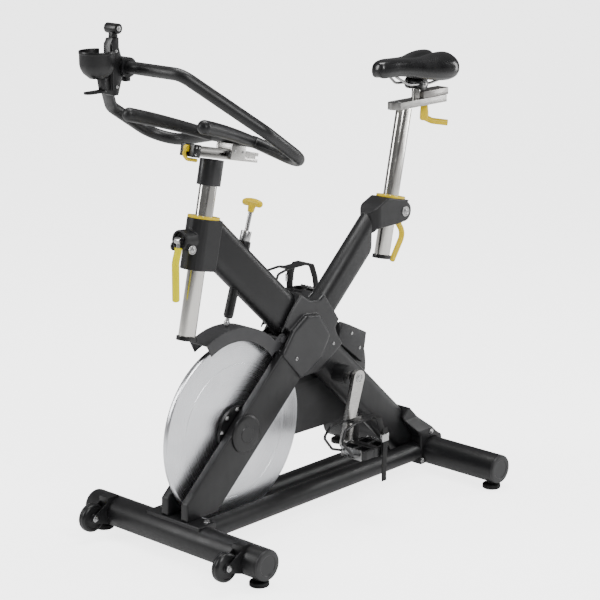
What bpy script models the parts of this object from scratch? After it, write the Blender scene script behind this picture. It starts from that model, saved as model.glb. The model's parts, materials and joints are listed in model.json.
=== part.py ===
"""Indoor spin bike: X rearward, Y to the rider's right, Z up, in metres, standing on z = 0.

Places below are measured from the front stabiliser's centre line; one empty shifts them all so that
the origin lies under the middle of the bike. Each joint has an empty on its axis.
"""

import math

import bmesh
import bpy
from mathutils import Matrix, Vector

GAP = 0.0003
WALL = 0.003
HOUSING_BARREL = 0.0285

# Base
STABILISER_LENGTH = 0.600
STABILISER_RADIUS = 0.0384
STABILISER_Z = 0.056
REAR_X = 0.889
CAP_LIP = 0.008
FOOT_Y = 0.270
FOOT_RADIUS = 0.024
FOOT_HEIGHT = 0.012
STUD_RADIUS = 0.006
WHEEL_X = -0.075
WHEEL_Y = 0.2315
WHEEL_Z = 0.0566
WHEEL_RADIUS = 0.036
WHEEL_WIDTH = 0.022
BASE_TUBE_Y = 0.041
BASE_TUBE_Z = 0.059
BASE_TUBE_RADIUS = 0.0257
BRACKET_FRONT_X = 0.842
BRACKET_HALF_WIDTH = 0.066

# Frame: a 43 degree cross of an oval main tube and an oval seat tube
SLOPE = math.radians(43.0)
HUB = Vector((0.444, 0.0, 0.463))
MAIN_DEPTH = 0.102
MAIN_WIDTH = 0.054
SEAT_TUBE_DEPTH = 0.083
SEAT_TUBE_WIDTH = 0.052
LEG_DEPTH = 0.0995
LEG_INNER_Y = 0.022
LEG_OUTER_Y = 0.046
LEG_POINT = Vector((0.3525, 0.0, 0.4085))
LEG_SLOPE = math.radians(42.4)
HUB_ARM_Y = 0.036
HUB_FACE_Y = 0.050
HEAD_WIDTH = 0.062

# Flywheel and drive
FLYWHEEL = Vector((0.187, 0.0, 0.2736))
FLYWHEEL_RADIUS = 0.2288
FLYWHEEL_THICKNESS = 0.016
AXLE_RADIUS = 0.010
CRANK = Vector((0.547, 0.0, 0.345))
CRANK_LENGTH = 0.170
CRANK_LEAN = math.atan2(0.282, 0.959)
CRANK_INNER_Y = 0.088
CRANK_OUTER_Y = 0.100
DRIVE_RADIUS = 0.098
DRIVEN_RADIUS = 0.030
PULLEY_Y = 0.065
PULLEY_WIDTH = 0.018
BELT_WIDTH = 0.014
BELT_THICKNESS = 0.004
GUARD_Y = 0.0473
GUARD_OUTER_Y = 0.085
GUARD_REAR = Vector((0.606, 0.0, 0.313))
GUARD_REAR_RADIUS = 0.135
GUARD_CRANK_RADIUS = 0.110
GUARD_FRONT_RADIUS = 0.087
PEDAL_Y = 0.159
PEDAL_LENGTH = 0.098
PEDAL_WIDTH = 0.086
PEDAL_HEIGHT = 0.026

# Brake
ROD_TOP = Vector((0.262, 0.0, 0.826))
ROD_END = Vector((0.1690, 0.0, 0.5409))
KNOB_REACH = 0.0315
KNOB_DROP = 0.004
FENDER_CENTRE = Vector((0.168, 0.0, 0.340))
FENDER_RADIUS = 0.200
FENDER_DEPTH = 0.034
FENDER_Y = 0.030
FENDER_FROM = math.radians(38.0)
FENDER_TO = math.radians(118.0)
BRAKE_PIVOT = Vector((0.334, 0.0, 0.479))

# Posts, both 12.4 degrees from vertical
POST_LEAN = math.radians(12.4)
POST_SIZE = (0.046, 0.032)
COLLAR_SIZE = (0.084, 0.062)
COLLAR_HEIGHT = 0.006
FRONT_POST_FOOT = Vector((0.036, 0.0, 0.537))
FRONT_POST_TOP_Z = 0.956
FRONT_HEAD_Z = (0.700, 0.8195)
SEAT_POST_FOOT = Vector((0.746, 0.0, 0.609))
SEAT_POST_TOP_Z = 0.9925
SEAT_HEAD_TOP_Z = 0.7635

# Handlebar
BAR_RADIUS = 0.0147
BAR_FRONT = Vector((-0.0949, 0.1337, 1.1942))
BAR_KINK = Vector((0.0443, 0.2554, 1.0634))
BAR_TIP = Vector((0.2091, 0.2476, 0.9552))
BAR_INNER = Vector((0.1995, 0.0698, 0.9971))
BAR_BENDS = (0.0414, 0.0426, 0.0786, 0.0279)
PADDLE_END = Vector((-0.018, 0.1245, 1.067))
RAIL_FRONT_X = 0.051
RAIL_REAR_X = 0.263
RAIL_SIZE = (0.040, 0.0235)
HOLDER = Vector((-0.173, 0.055, 1.172))
HOLDER_RADIUS = 0.041
HOLDER_HEIGHT = 0.066
CONSOLE_Y = 0.055

# Seat
SEAT_RAIL_X = (0.775, 0.982)
SEAT_RAIL_Z = (0.9935, 1.0118)
SEAT_RAIL_WIDTH = 0.040
CARRIAGE_X = (0.873, 0.990)
CARRIAGE_TOP_Z = 1.031
STUB_X = 0.878
TILT_Z = 1.052

ORIGIN_X = (HOLDER.x - HOLDER_RADIUS + CARRIAGE_X[1]) / 2
UP = Vector((math.sin(POST_LEAN), 0, math.cos(POST_LEAN)))
ALONG = Vector((math.cos(POST_LEAN), 0, -math.sin(POST_LEAN)))
MAIN_DIRECTION = Vector((math.cos(SLOPE), 0, -math.sin(SLOPE)))
SEAT_DIRECTION = Vector((math.cos(SLOPE), 0, math.sin(SLOPE)))
LEG_DIRECTION = Vector((math.cos(LEG_SLOPE), 0, math.sin(LEG_SLOPE)))
ACROSS = Vector((0, 1, 0))

LOOKS = {
    "frame_black": ((0.022, 0.022, 0.024), 0.42, 0.0),
    "trim_grey": ((0.075, 0.075, 0.078), 0.5, 0.0),
    "plastic_black": ((0.012, 0.012, 0.013), 0.45, 0.0),
    "rubber_black": ((0.015, 0.015, 0.015), 0.8, 0.0),
    "steel": ((0.62, 0.62, 0.61), 0.22, 1.0),
    "polished_steel": ((0.72, 0.73, 0.75), 0.12, 1.0),
    "aluminium": ((0.70, 0.70, 0.68), 0.3, 1.0),
    "yellow": ((0.72, 0.50, 0.04), 0.4, 0.0),
    "lemon": ((0.88, 0.82, 0.02), 0.4, 0.0),
    "saddle_black": ((0.010, 0.010, 0.011), 0.25, 0.0),
    "felt": ((0.09, 0.085, 0.08), 0.95, 0.0),
}


def clear_scene():
    for old in list(bpy.data.objects):
        bpy.data.objects.remove(old)


def make_collection(name):
    collection = bpy.data.collections.new(name)
    bpy.context.scene.collection.children.link(collection)
    return collection


def make_material(name, color, roughness, metallic):
    made = bpy.data.materials.new(name)
    made.use_nodes = True
    shader = made.node_tree.nodes["Principled BSDF"]
    shader.inputs["Base Color"].default_value = (*color, 1.0)
    shader.inputs["Roughness"].default_value = roughness
    shader.inputs["Metallic"].default_value = metallic
    made.diffuse_color = (*color, 1.0)
    return made


def make_pivot(name, place, parent=None):
    """An empty on a joint's axis, placed in the design's own coordinates."""
    empty = bpy.data.objects.new(name, None)
    PARTS.objects.link(empty)
    empty.parent = parent
    empty.location = place
    empty.empty_display_size = 0.03
    return empty


# ---- shapes, each a bmesh in design coordinates


def frame_matrix(place, x_axis, y_axis, z_axis):
    turned_axes = Matrix((x_axis, y_axis, z_axis)).transposed().to_4x4()
    return Matrix.Translation(place) @ turned_axes


def side_plane(y=0.0):
    """Local x, y lie along the bike's X, Z; local z points to -Y."""
    return frame_matrix(Vector((0, y, 0)), Vector((1, 0, 0)), Vector((0, 0, 1)), Vector((0, -1, 0)))


def bar_matrix(place, direction):
    """Local z runs along a direction in the side plane, local y is the bike's Y."""
    return frame_matrix(place, ACROSS.cross(direction), ACROSS, direction)


def baked(helper):
    """The evaluated mesh of a helper object, welded, as a bmesh."""
    bpy.context.view_layer.update()
    graph = bpy.context.evaluated_depsgraph_get()
    mesh = bpy.data.meshes.new_from_object(helper.evaluated_get(graph))
    shape = bmesh.new()
    shape.from_mesh(mesh)
    bmesh.ops.remove_doubles(shape, verts=shape.verts, dist=1e-6)
    bpy.data.objects.remove(helper)
    bpy.data.meshes.remove(mesh)
    return shape


def prism(outlines, length, place):
    """A filled flat outline, with any further outlines as holes, drawn out to both sides."""
    curve = bpy.data.curves.new("outline", "CURVE")
    curve.dimensions = "2D"
    curve.fill_mode = "BOTH"
    curve.extrude = length / 2
    for outline in outlines:
        spline = curve.splines.new("POLY")
        spline.points.add(len(outline) - 1)
        for point, (x, y) in zip(spline.points, outline):
            point.co = (x, y, 0, 1)
        spline.use_cyclic_u = True
    helper = bpy.data.objects.new("outline", curve)
    PARTS.objects.link(helper)
    shape = baked(helper)
    bmesh.ops.recalc_face_normals(shape, faces=shape.faces)
    shape.transform(place)
    return shape


def box(size, place=Matrix.Identity(4)):
    shape = bmesh.new()
    bmesh.ops.create_cube(shape, size=1.0, matrix=place @ Matrix.Diagonal((*size, 1.0)))
    return shape


def box_between(low, high):
    low, high = Vector(low), Vector(high)
    return box(high - low, Matrix.Translation((low + high) / 2))


def rod(start, end, radius, segments=24, end_radius=None):
    start, end = Vector(start), Vector(end)
    turn = (end - start).to_track_quat("Z", "Y").to_matrix().to_4x4()
    shape = bmesh.new()
    bmesh.ops.create_cone(
        shape,
        cap_ends=True,
        segments=segments,
        radius1=radius,
        radius2=radius if end_radius is None else end_radius,
        depth=(end - start).length,
        matrix=Matrix.Translation((start + end) / 2) @ turn,
    )
    return shape


def cross_rod(centre, radius, y_from, y_to, segments=24):
    """A cylinder across the bike."""
    return rod((centre[0], y_from, centre[2]), (centre[0], y_to, centre[2]), radius, segments)


def turned(profile, place, steps=24):
    """A profile of (radius, height) points turned about the local Z axis."""
    shape = bmesh.new()
    points = [shape.verts.new((radius, 0, height)) for radius, height in profile]
    for one, two in zip(points, points[1:]):
        shape.edges.new((one, two))
    mesh = bpy.data.meshes.new("profile")
    shape.to_mesh(mesh)
    shape.free()
    helper = bpy.data.objects.new("profile", mesh)
    PARTS.objects.link(helper)
    screw = helper.modifiers.new("turn", "SCREW")
    screw.steps = steps
    screw.render_steps = steps
    screw.use_merge_vertices = True
    screw.merge_threshold = 0.0001
    made = baked(helper)
    bmesh.ops.recalc_face_normals(made, faces=made.faces)
    made.transform(place)
    return made


def across_matrix(centre, side=1):
    """Local Z points outward along side * Y from a point on the bike."""
    return Matrix.Translation(centre) @ Matrix.Rotation(-side * math.pi / 2, 4, "X")


def tube_along(points, radius, cyclic=False, resolution=2, scales=None):
    """A round tube through the points."""
    curve = bpy.data.curves.new("route", "CURVE")
    curve.dimensions = "3D"
    curve.bevel_depth = radius
    curve.bevel_resolution = resolution
    curve.use_fill_caps = True
    spline = curve.splines.new("POLY")
    spline.points.add(len(points) - 1)
    for index, (point, place) in enumerate(zip(spline.points, points)):
        point.co = (*place, 1)
        point.radius = scales[index] if scales else 1.0
    spline.use_cyclic_u = cyclic
    helper = bpy.data.objects.new("route", curve)
    PARTS.objects.link(helper)
    shape = baked(helper)
    bmesh.ops.recalc_face_normals(shape, faces=shape.faces)
    return shape


def joined(*shapes):
    """Separate solids in one mesh."""
    whole = bmesh.new()
    for shape in shapes:
        mesh = bpy.data.meshes.new("joining")
        shape.to_mesh(mesh)
        whole.from_mesh(mesh)
        bpy.data.meshes.remove(mesh)
        shape.free()
    return whole


# ---- outlines in a plane


def arc(centre, radius, start, end, steps):
    turns = [start + (end - start) * step / steps for step in range(steps + 1)]
    return [(centre[0] + radius * math.cos(t), centre[1] + radius * math.sin(t)) for t in turns]


def circle(radius, steps=32, centre=(0, 0)):
    return arc(centre, radius, 0, math.tau, steps)[:-1]


def stadium(length, width, steps=6):
    """Long in local x, with half-round ends."""
    reach = (length - width) / 2
    right = arc((reach, 0), width / 2, -math.pi / 2, math.pi / 2, steps)
    left = arc((-reach, 0), width / 2, math.pi / 2, 3 * math.pi / 2, steps)
    return right + left


def two_circle_outline(one, one_radius, two, two_radius, steps=20):
    """The outer outline of two circles in the side plane joined by their tangents."""
    offset = Vector((two[0] - one[0], two[2] - one[2]))
    heading = math.atan2(offset.y, offset.x)
    spread = math.acos((one_radius - two_radius) / offset.length)
    first = arc((one[0], one[2]), one_radius, heading + spread, heading + math.tau - spread, steps)
    second = arc((two[0], two[2]), two_radius, heading - spread, heading + spread, steps)
    return first + second


def side_prism(outline, y_from, y_to, holes=()):
    return prism([outline, *holes], abs(y_to - y_from), side_plane((y_from + y_to) / 2))


# ---- objects


def add(name, shape, look, pivot=None, bevel=0.0, segments=2, unions=(), cuts=(), solver="EXACT"):
    """Makes one named sub-part, with its origin on its pivot."""
    pivot = pivot or BIKE
    shape.transform(Matrix.Translation(-pivot.location if pivot is not BIKE else Vector()))
    mesh = bpy.data.meshes.new(name)
    shape.to_mesh(mesh)
    shape.free()
    made = bpy.data.objects.new(name, mesh)
    PARTS.objects.link(made)
    made.parent = pivot
    color, roughness, metallic = LOOKS[look]
    mesh.materials.append(make_material(f"{name}_{look}", color, roughness, metallic))
    if bevel:
        modifier = made.modifiers.new("edges", "BEVEL")
        modifier.width = bevel
        modifier.segments = segments
        modifier.limit_method = "ANGLE"
        modifier.angle_limit = math.radians(40)
    for helper in unions:
        boolean(made, helper, "UNION", solver)
    for helper in cuts:
        boolean(made, helper, "DIFFERENCE", solver)
    mesh.shade_smooth()
    mesh.set_sharp_from_angle(angle=math.radians(35))
    return made


def cutter(name, shape, bevel=0.0):
    mesh = bpy.data.meshes.new(name)
    shape.to_mesh(mesh)
    shape.free()
    made = bpy.data.objects.new(name, mesh)
    CUTTERS.objects.link(made)
    made.parent = BIKE
    made.hide_render = True
    made.display_type = "WIRE"
    if bevel:
        modifier = made.modifiers.new("edges", "BEVEL")
        modifier.width = bevel
        modifier.segments = 2
        modifier.limit_method = "ANGLE"
        modifier.angle_limit = math.radians(40)
    return made


def boolean(target, helper, operation, solver="EXACT"):
    modifier = target.modifiers.new(f"{operation.lower()} {helper.name}", "BOOLEAN")
    modifier.operation = operation
    modifier.solver = solver
    modifier.object = helper


def post_point(foot, z):
    return foot + UP * ((z - foot.z) / UP.z)


def grown(size, by):
    return (size[0] + 2 * by, size[1] + 2 * by)


# ---- base


def stabiliser_cutter(name, x):
    half = STABILISER_LENGTH / 2
    shape = cross_rod((x, 0, STABILISER_Z), STABILISER_RADIUS + GAP, -half, half)
    return cutter(name, shape)


def base():
    half = STABILISER_LENGTH / 2
    for name, x in (("front", 0.0), ("rear", REAR_X)):
        outlines = [
            circle(STABILISER_RADIUS, 24, (x, STABILISER_Z)),
            circle(STABILISER_RADIUS - WALL, 24, (x, STABILISER_Z)),
        ]
        shape = prism(outlines, STABILISER_LENGTH - 2 * CAP_LIP, side_plane())
        holes = joined(
            *[
                rod((x, y, 0.010), (x, y, STABILISER_Z), STUD_RADIUS + 0.0008, 12)
                for y in (-FOOT_Y, FOOT_Y)
            ]
        )
        bore = cross_rod((x, 0, STABILISER_Z), STABILISER_RADIUS - WALL, -half - 0.01, half + 0.01)
        cuts = [cutter(f"{name}_stud_holes", holes), cutter(f"{name}_stabiliser_bore", bore)]
        welded_on = wheel_brackets() if name == "front" else []
        add(f"{name}_stabiliser", shape, "frame_black", unions=welded_on, cuts=cuts)
        for side_name, y in (("left", -FOOT_Y), ("right", FOOT_Y)):
            leveling_foot(f"foot_{name}_{side_name}", Vector((x, y, 0)))
    for end_name, x in (("front", 0.0), ("rear", REAR_X)):
        for side_name, side in (("left", -1), ("right", 1)):
            plug = STABILISER_RADIUS - WALL - 0.0004
            profile = [
                (0, CAP_LIP - GAP),
                (STABILISER_RADIUS - 0.002, CAP_LIP - GAP),
                (STABILISER_RADIUS, CAP_LIP - 0.002 - GAP),
                (STABILISER_RADIUS, 0),
                (plug, 0),
                (plug, -0.010),
                (0, -0.010),
            ]
            centre = Vector((x, side * (half - CAP_LIP + GAP), STABILISER_Z))
            shape = turned(profile, across_matrix(centre, side), 24)
            add(f"stabiliser_cap_{end_name}_{side_name}", shape, "trim_grey")
    base_tubes()
    transport_wheels()
    base_plate()
    rear_bracket()


def leveling_foot(name, centre):
    pivot = make_pivot(f"{name}_axis", centre, BIKE)
    nut_top = STABILISER_Z - STABILISER_RADIUS - 0.0004
    profile = [
        (0, 0.048),
        (STUD_RADIUS, 0.048),
        (STUD_RADIUS, nut_top),
        (0.010, nut_top),
        (0.010, FOOT_HEIGHT + 0.0012),
        (FOOT_RADIUS, FOOT_HEIGHT - 0.002),
        (FOOT_RADIUS, 0.0015),
        (FOOT_RADIUS - 0.0015, 0),
        (0, 0),
    ]
    add(name, turned(profile, Matrix.Translation(centre), 16), "rubber_black", pivot)


def base_tubes():
    ends = [CUT["front_stabiliser"], CUT["rear_bracket"], CUT["main_tube"]]
    length = BRACKET_FRONT_X - GAP
    place = frame_matrix(
        Vector((length / 2, 0, 0)), Vector((0, 1, 0)), Vector((0, 0, 1)), Vector((1, 0, 0))
    )
    for side_name, y in (("left", -BASE_TUBE_Y), ("right", BASE_TUBE_Y)):
        centre = (y, BASE_TUBE_Z)
        outlines = [
            circle(BASE_TUBE_RADIUS, 24, centre),
            circle(BASE_TUBE_RADIUS - WALL, 24, centre),
        ]
        add(f"base_tube_{side_name}", prism(outlines, length, place), "frame_black", cuts=ends)


def transport_wheels():
    half = WHEEL_WIDTH / 2
    for side_name, y in (("left", -WHEEL_Y), ("right", WHEEL_Y)):
        centre = Vector((WHEEL_X, y, WHEEL_Z))
        pivot = make_pivot(f"transport_wheel_{side_name}_axis", centre, BIKE)
        profile = [
            (0.0046, half),
            (0.030, half),
            (WHEEL_RADIUS - 0.001, half * 0.5),
            (WHEEL_RADIUS, 0),
        ]
        profile += [(r, -h) for r, h in reversed(profile[:-1])]
        profile.append(profile[0])
        add(
            f"transport_wheel_{side_name}",
            turned(profile, across_matrix(centre), 24),
            "plastic_black",
            pivot,
        )


def wheel_brackets():
    """A welded fork for each wheel: two cheeks, the plate over them, and the wheel's bolt."""
    half = WHEEL_WIDTH / 2
    cheek = 0.003
    pieces = []
    for y in (-WHEEL_Y, WHEEL_Y):
        centre = Vector((WHEEL_X, y, WHEEL_Z))
        inner = half + 0.0012
        outline = arc((WHEEL_X, WHEEL_Z), 0.011, math.radians(70), math.radians(250), 8)
        outline += [(-0.030, STABILISER_Z - 0.026), (-0.010, 0.080), (-0.016, 0.0965)]
        for low in (-inner - cheek, inner):
            pieces.append(side_prism(outline, y + low, y + low + cheek))
        pieces.append(cross_rod(centre, 0.004, y - inner - 0.001, y + inner + 0.001, 12))
        pieces.append(cross_rod(centre, 0.0075, y - inner - cheek - 0.004, y - inner - 0.001, 12))
        edge = inner + cheek + 0.0004
        pieces.append(box_between((-0.034, y - edge, 0.070), (0.004, y + edge, 0.100)))
    return [cutter(f"wheel_bracket_piece_{i}", piece) for i, piece in enumerate(pieces)]


def base_plate():
    shape = box_between((-0.020, -0.092, 0.078), (0.036, 0.092, 0.0985))
    tubes = [CUT["base_tube_left"], CUT["base_tube_right"]]
    bolts = [
        cutter(f"plate_bolt_{i}", bolt(Vector((0.022, y, 0.098)), Vector((0, 0, 1)), 0.006, 0.005))
        for i, y in enumerate((-0.074, 0.074))
    ]
    cuts = [CUT["front_stabiliser"], *tubes]
    add("base_plate", shape, "frame_black", unions=bolts, cuts=cuts)


def rear_bracket():
    """The saddle over the rear stabiliser that takes the main tube and both base tubes."""
    bolts = []
    for side in (-1, 1):
        for x, z in ((0.8845, 0.110), (0.8495, 0.036)):
            head = bolt(Vector((x, side * 0.0655, z)), Vector((0, side, 0)))
            bolts.append(cutter(f"bracket_bolt_{len(bolts)}", head))
    neck, wide, far = 0.037, BRACKET_HALF_WIDTH + 0.001, 0.1
    across = frame_matrix(Vector((0.87, 0, 0)), ACROSS, Vector((0, 0, 1)), Vector((1, 0, 0)))
    shoulders = []
    for side in (-1, 1):
        outline = [(neck, 0.2), (neck, 0.152), (wide, 0.120), (far, 0.120), (far, 0.2)]
        shoulders.append(prism([[(side * y, z) for y, z in outline]], 0.2, across))
    spaces = [cutter("bracket_shoulders", joined(*shoulders)), CUT["rear_stabiliser"]]
    add(
        "rear_bracket",
        bracket_shape(0.0),
        "frame_black",
        bevel=0.004,
        unions=bolts,
        cuts=[*spaces, CUT["main_tube"]],
    )


def bracket_shape(grow):
    front = BRACKET_FRONT_X - grow
    outline = [(front, 0.024 - grow), (front, 0.104), (0.800, 0.160), (0.826, 0.186)]
    outline += [(0.862, 0.150 + grow), (0.908, 0.106 + grow), (0.930 + grow, 0.092)]
    outline += [(0.9345 + grow, 0.060), (0.9345 + grow, 0.034), (0.925, 0.034 - grow)]
    outline += [(0.860, 0.024 - grow)]
    return side_prism(outline, -BRACKET_HALF_WIDTH - grow, BRACKET_HALF_WIDTH + grow)


# ---- frame


def ring_bar(start, end, depth, width, wall=WALL):
    """A hollow oval tube in the side plane."""
    direction = (end - start).normalized()
    outlines = [stadium(depth, width), stadium(depth - 2 * wall, width - 2 * wall)]
    return prism(outlines, (end - start).length, bar_matrix((start + end) / 2, direction))


def solid_bar(start, end, depth, width):
    direction = (end - start).normalized()
    length = (end - start).length
    return prism([stadium(depth, width)], length, bar_matrix((start + end) / 2, direction))


def leg_outline(grow=0.0):
    """A flat leg from the base plate up into the hub."""
    normal = ACROSS.cross(LEG_DIRECTION)
    top = LEG_POINT + LEG_DIRECTION * (0.052 + grow)
    front = -normal * (LEG_DEPTH / 2 + grow)
    rear = normal * (LEG_DEPTH / 2 + grow)
    low_z = 0.0988 - grow
    rear_low = LEG_POINT + rear
    rear_low = rear_low - LEG_DIRECTION * ((rear_low.z - low_z) / LEG_DIRECTION.z)
    front_low = LEG_POINT + front
    front_low = front_low - LEG_DIRECTION * ((front_low.z - 0.142) / LEG_DIRECTION.z)
    points = [top + front, front_low, Vector((front_low.x - 0.002, 0, low_z)), rear_low, top + rear]
    return [(p.x, p.z) for p in points]


def make_cutters():
    """The spaces that one sub-part leaves for another."""
    CUT["front_stabiliser"] = stabiliser_cutter("front_stabiliser_space", 0.0)
    CUT["rear_stabiliser"] = stabiliser_cutter("rear_stabiliser_space", REAR_X)
    for name, y in (("base_tube_left", -BASE_TUBE_Y), ("base_tube_right", BASE_TUBE_Y)):
        shape = rod((0, y, BASE_TUBE_Z), (REAR_X, y, BASE_TUBE_Z), BASE_TUBE_RADIUS + GAP, 24)
        CUT[name] = cutter(f"{name}_space", shape)
    CUT["rear_bracket"] = cutter("rear_bracket_space", bracket_shape(GAP))
    main_start = HUB - MAIN_DIRECTION * 0.480
    main_end = HUB + MAIN_DIRECTION * 0.5585
    depth, width = grown((MAIN_DEPTH, MAIN_WIDTH), GAP)
    CUT["main_tube"] = cutter("main_tube_space", solid_bar(main_start, main_end, depth, width))
    seat_end = HUB + SEAT_DIRECTION * 0.300
    depth, width = grown((SEAT_TUBE_DEPTH, SEAT_TUBE_WIDTH), GAP)
    CUT["seat_tube"] = cutter("seat_tube_space", solid_bar(HUB, seat_end, depth, width))
    legs = []
    for side in (-1, 1):
        inner, outer = side * (LEG_INNER_Y - GAP), side * (LEG_OUTER_Y + GAP)
        legs.append(side_prism(leg_outline(GAP), inner, outer))
    CUT["legs"] = cutter("leg_space", joined(*legs))
    CUT["flywheel"] = cutter("flywheel_space", cross_rod(FLYWHEEL, 0.237, -0.0125, 0.0125, 48))
    sweep = cross_rod(FENDER_CENTRE, FENDER_RADIUS + 0.008, -0.0345, 0.0345, 40)
    CUT["fender"] = cutter("fender_space", sweep)
    ear = cross_rod(BRAKE_PIVOT, 0.0265, -0.0385, 0.0385, 20)
    CUT["brake_ear"] = cutter("brake_ear_space", ear)
    CUT["guard"] = cutter("guard_space", side_prism(guard_outline(-0.002), GUARD_Y - GAP, 0.09))
    CUT["crank_axle"] = cutter("crank_bore", cross_rod(CRANK, AXLE_RADIUS + GAP, -0.09, 0.09))
    CUT["housings"] = cutter("housing_space", cross_rod(FLYWHEEL, HOUSING_BARREL, -0.09, 0.09))


def frame():
    head_face = FRONT_POST_FOOT + ALONG * (0.036 + GAP)
    toward = MAIN_DIRECTION.dot(ALONG)
    start = HUB - MAIN_DIRECTION * ((HUB - head_face).dot(ALONG) / toward + 0.030)
    end = HUB + MAIN_DIRECTION * 0.5585
    head_end = post_point(FRONT_POST_FOOT, 0.76) + ALONG * (0.036 + GAP - 0.10)
    trim = cutter("main_tube_head_trim", box((0.20, 0.2, 0.4), bar_matrix(head_end, UP)))
    collar_place = bar_matrix(post_point(FRONT_POST_FOOT, FRONT_HEAD_Z[1]) + UP * 0.014, UP)
    collar_room = prism([stadium(*grown(COLLAR_SIZE, 0.0006))], 0.030, collar_place)
    collar_trim = cutter("main_tube_collar_trim", collar_room)
    rod_way = (ROD_TOP - ROD_END).normalized()
    rod_hole = cutter("rod_bore", rod(ROD_END, ROD_TOP - rod_way * 0.02, 0.0128, 16))
    lug_centre = BRAKE_PIVOT - ACROSS.cross(MAIN_DIRECTION) * 0.008
    lug = cutter("brake_lug", box((0.028, 0.040, 0.024), bar_matrix(lug_centre, MAIN_DIRECTION)))
    lug_bore = cutter("brake_lug_bore", cross_rod(BRAKE_PIVOT, 0.0054, -0.03, 0.03, 12))
    shell = cutter("bottom_bracket", cross_rod(CRANK, 0.024, -0.064, GUARD_Y - 0.0006, 28))
    add(
        "main_tube",
        ring_bar(start, end, MAIN_DEPTH, MAIN_WIDTH),
        "frame_black",
        unions=[lug, shell],
        cuts=[trim, collar_trim, rod_hole, CUT["rear_stabiliser"], CUT["crank_axle"], lug_bore],
    )
    seam = Vector((0.677, 0, 0.739)), Vector((0.676, 0, 0.649))
    seat_tube(seam)
    for side_name, side in (("left", -1), ("right", 1)):
        fork_leg(side_name, side)
        hub_cover(side_name, side)
    front_head()
    seat_head(seam)
    collars()
    axle_housings()
    brake_guide()


def seat_tube(seam):
    slant = (seam[0] - seam[1]).normalized()
    off = ACROSS.cross(slant)
    end_cut = box((0.3, 0.2, 0.3), bar_matrix(seam[0] - slant * 0.05 + off * (0.15 - GAP), slant))
    size = (SEAT_TUBE_DEPTH, SEAT_TUBE_WIDTH)
    hollow = solid_bar(HUB - SEAT_DIRECTION * 0.02, HUB + SEAT_DIRECTION * 0.250, *grown(size, -WALL))
    trims = [cutter("seat_tube_hollow", hollow), cutter("seat_tube_end_trim", end_cut)]
    tube = solid_bar(HUB, HUB + SEAT_DIRECTION * 0.420, *size)
    add("seat_tube", tube, "frame_black", cuts=[CUT["main_tube"], *trims], solver="MANIFOLD")


def fork_leg(side_name, side):
    shape = side_prism(leg_outline(), side * LEG_INNER_Y, side * LEG_OUTER_Y)
    middle = LEG_POINT + Vector((0, side * (LEG_INNER_Y + LEG_OUTER_Y) / 2, 0))
    wall = 2 * WALL
    hollow = box(
        (LEG_DEPTH - wall, LEG_OUTER_Y - LEG_INNER_Y - wall, 0.36), bar_matrix(middle, LEG_DIRECTION)
    )
    add(
        f"fork_leg_{side_name}",
        shape,
        "frame_black",
        cuts=[cutter(f"leg_hollow_{side_name}", hollow), CUT["main_tube"], CUT["housings"]],
    )


def hub_outline():
    """Four arms over the crossing; the notch between the two upper arms is filled with a saddle."""
    deep = MAIN_DEPTH / 2 + 0.006
    seat_deep = SEAT_TUBE_DEPTH / 2 + 0.006
    main_normal = -ACROSS.cross(MAIN_DIRECTION)
    seat_normal = -ACROSS.cross(SEAT_DIRECTION)
    leg_normal = -ACROSS.cross(LEG_DIRECTION)
    leg_end = LEG_POINT - LEG_DIRECTION * 0.004
    points = [
        HUB - MAIN_DIRECTION * 0.119 + main_normal * deep,
        HUB - MAIN_DIRECTION * 0.075 + main_normal * (deep + 0.006),
        HUB + SEAT_DIRECTION * 0.078 + seat_normal * (seat_deep + 0.006),
        HUB + SEAT_DIRECTION * 0.102 + seat_normal * seat_deep,
        HUB + SEAT_DIRECTION * 0.090 - seat_normal * seat_deep,
        HUB + SEAT_DIRECTION * 0.066 - seat_normal * (seat_deep + 0.004),
        HUB + MAIN_DIRECTION * 0.072 + main_normal * (deep - 0.002),
        HUB + MAIN_DIRECTION * 0.110 + main_normal * (deep - 0.010),
        HUB + MAIN_DIRECTION * 0.084 - main_normal * (deep - 0.004),
        leg_end - leg_normal * (LEG_DEPTH / 2 + 0.004),
        leg_end + leg_normal * (LEG_DEPTH / 2 + 0.002),
        HUB - MAIN_DIRECTION * 0.110 - main_normal * deep,
    ]
    return [(p.x, p.z) for p in points]


def face_outline():
    """The raised face of the hub cover: the centre and the arm over the leg."""
    main_normal = -ACROSS.cross(MAIN_DIRECTION)
    leg_normal = -ACROSS.cross(LEG_DIRECTION)
    leg_end = LEG_POINT - LEG_DIRECTION * 0.004
    points = [
        HUB - MAIN_DIRECTION * 0.072 + main_normal * 0.022,
        HUB - MAIN_DIRECTION * 0.030 + main_normal * 0.052,
        HUB + MAIN_DIRECTION * 0.040 + main_normal * 0.034,
        HUB + MAIN_DIRECTION * 0.052 - main_normal * 0.030,
        leg_end - leg_normal * (LEG_DEPTH / 2 + 0.004),
        leg_end + leg_normal * (LEG_DEPTH / 2 + 0.002),
        HUB - MAIN_DIRECTION * 0.088 - main_normal * 0.034,
    ]
    return [(p.x, p.z) for p in points]


def hub_cover(side_name, side):
    shape = side_prism(hub_outline(), side * GAP, side * HUB_ARM_Y)
    face = side_prism(face_outline(), side * (HUB_ARM_Y - 0.012), side * HUB_FACE_Y)
    spaces = ["main_tube", "seat_tube", "legs", "flywheel", "fender", "brake_ear"]
    if side > 0:
        spaces.append("guard")
    screw_place = Vector((0.367, side * (HUB_FACE_Y - 0.001), 0.425))
    screw = cutter(f"hub_screw_{side_name}", bolt(screw_place, Vector((0, side, 0)), 0.0043, 0.0027))
    add(
        f"hub_cover_{side_name}",
        shape,
        "frame_black",
        unions=[cutter(f"hub_face_{side_name}", face, 0.006), screw],
        cuts=[CUT[name] for name in spaces],
        solver="MANIFOLD",
    )


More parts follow.
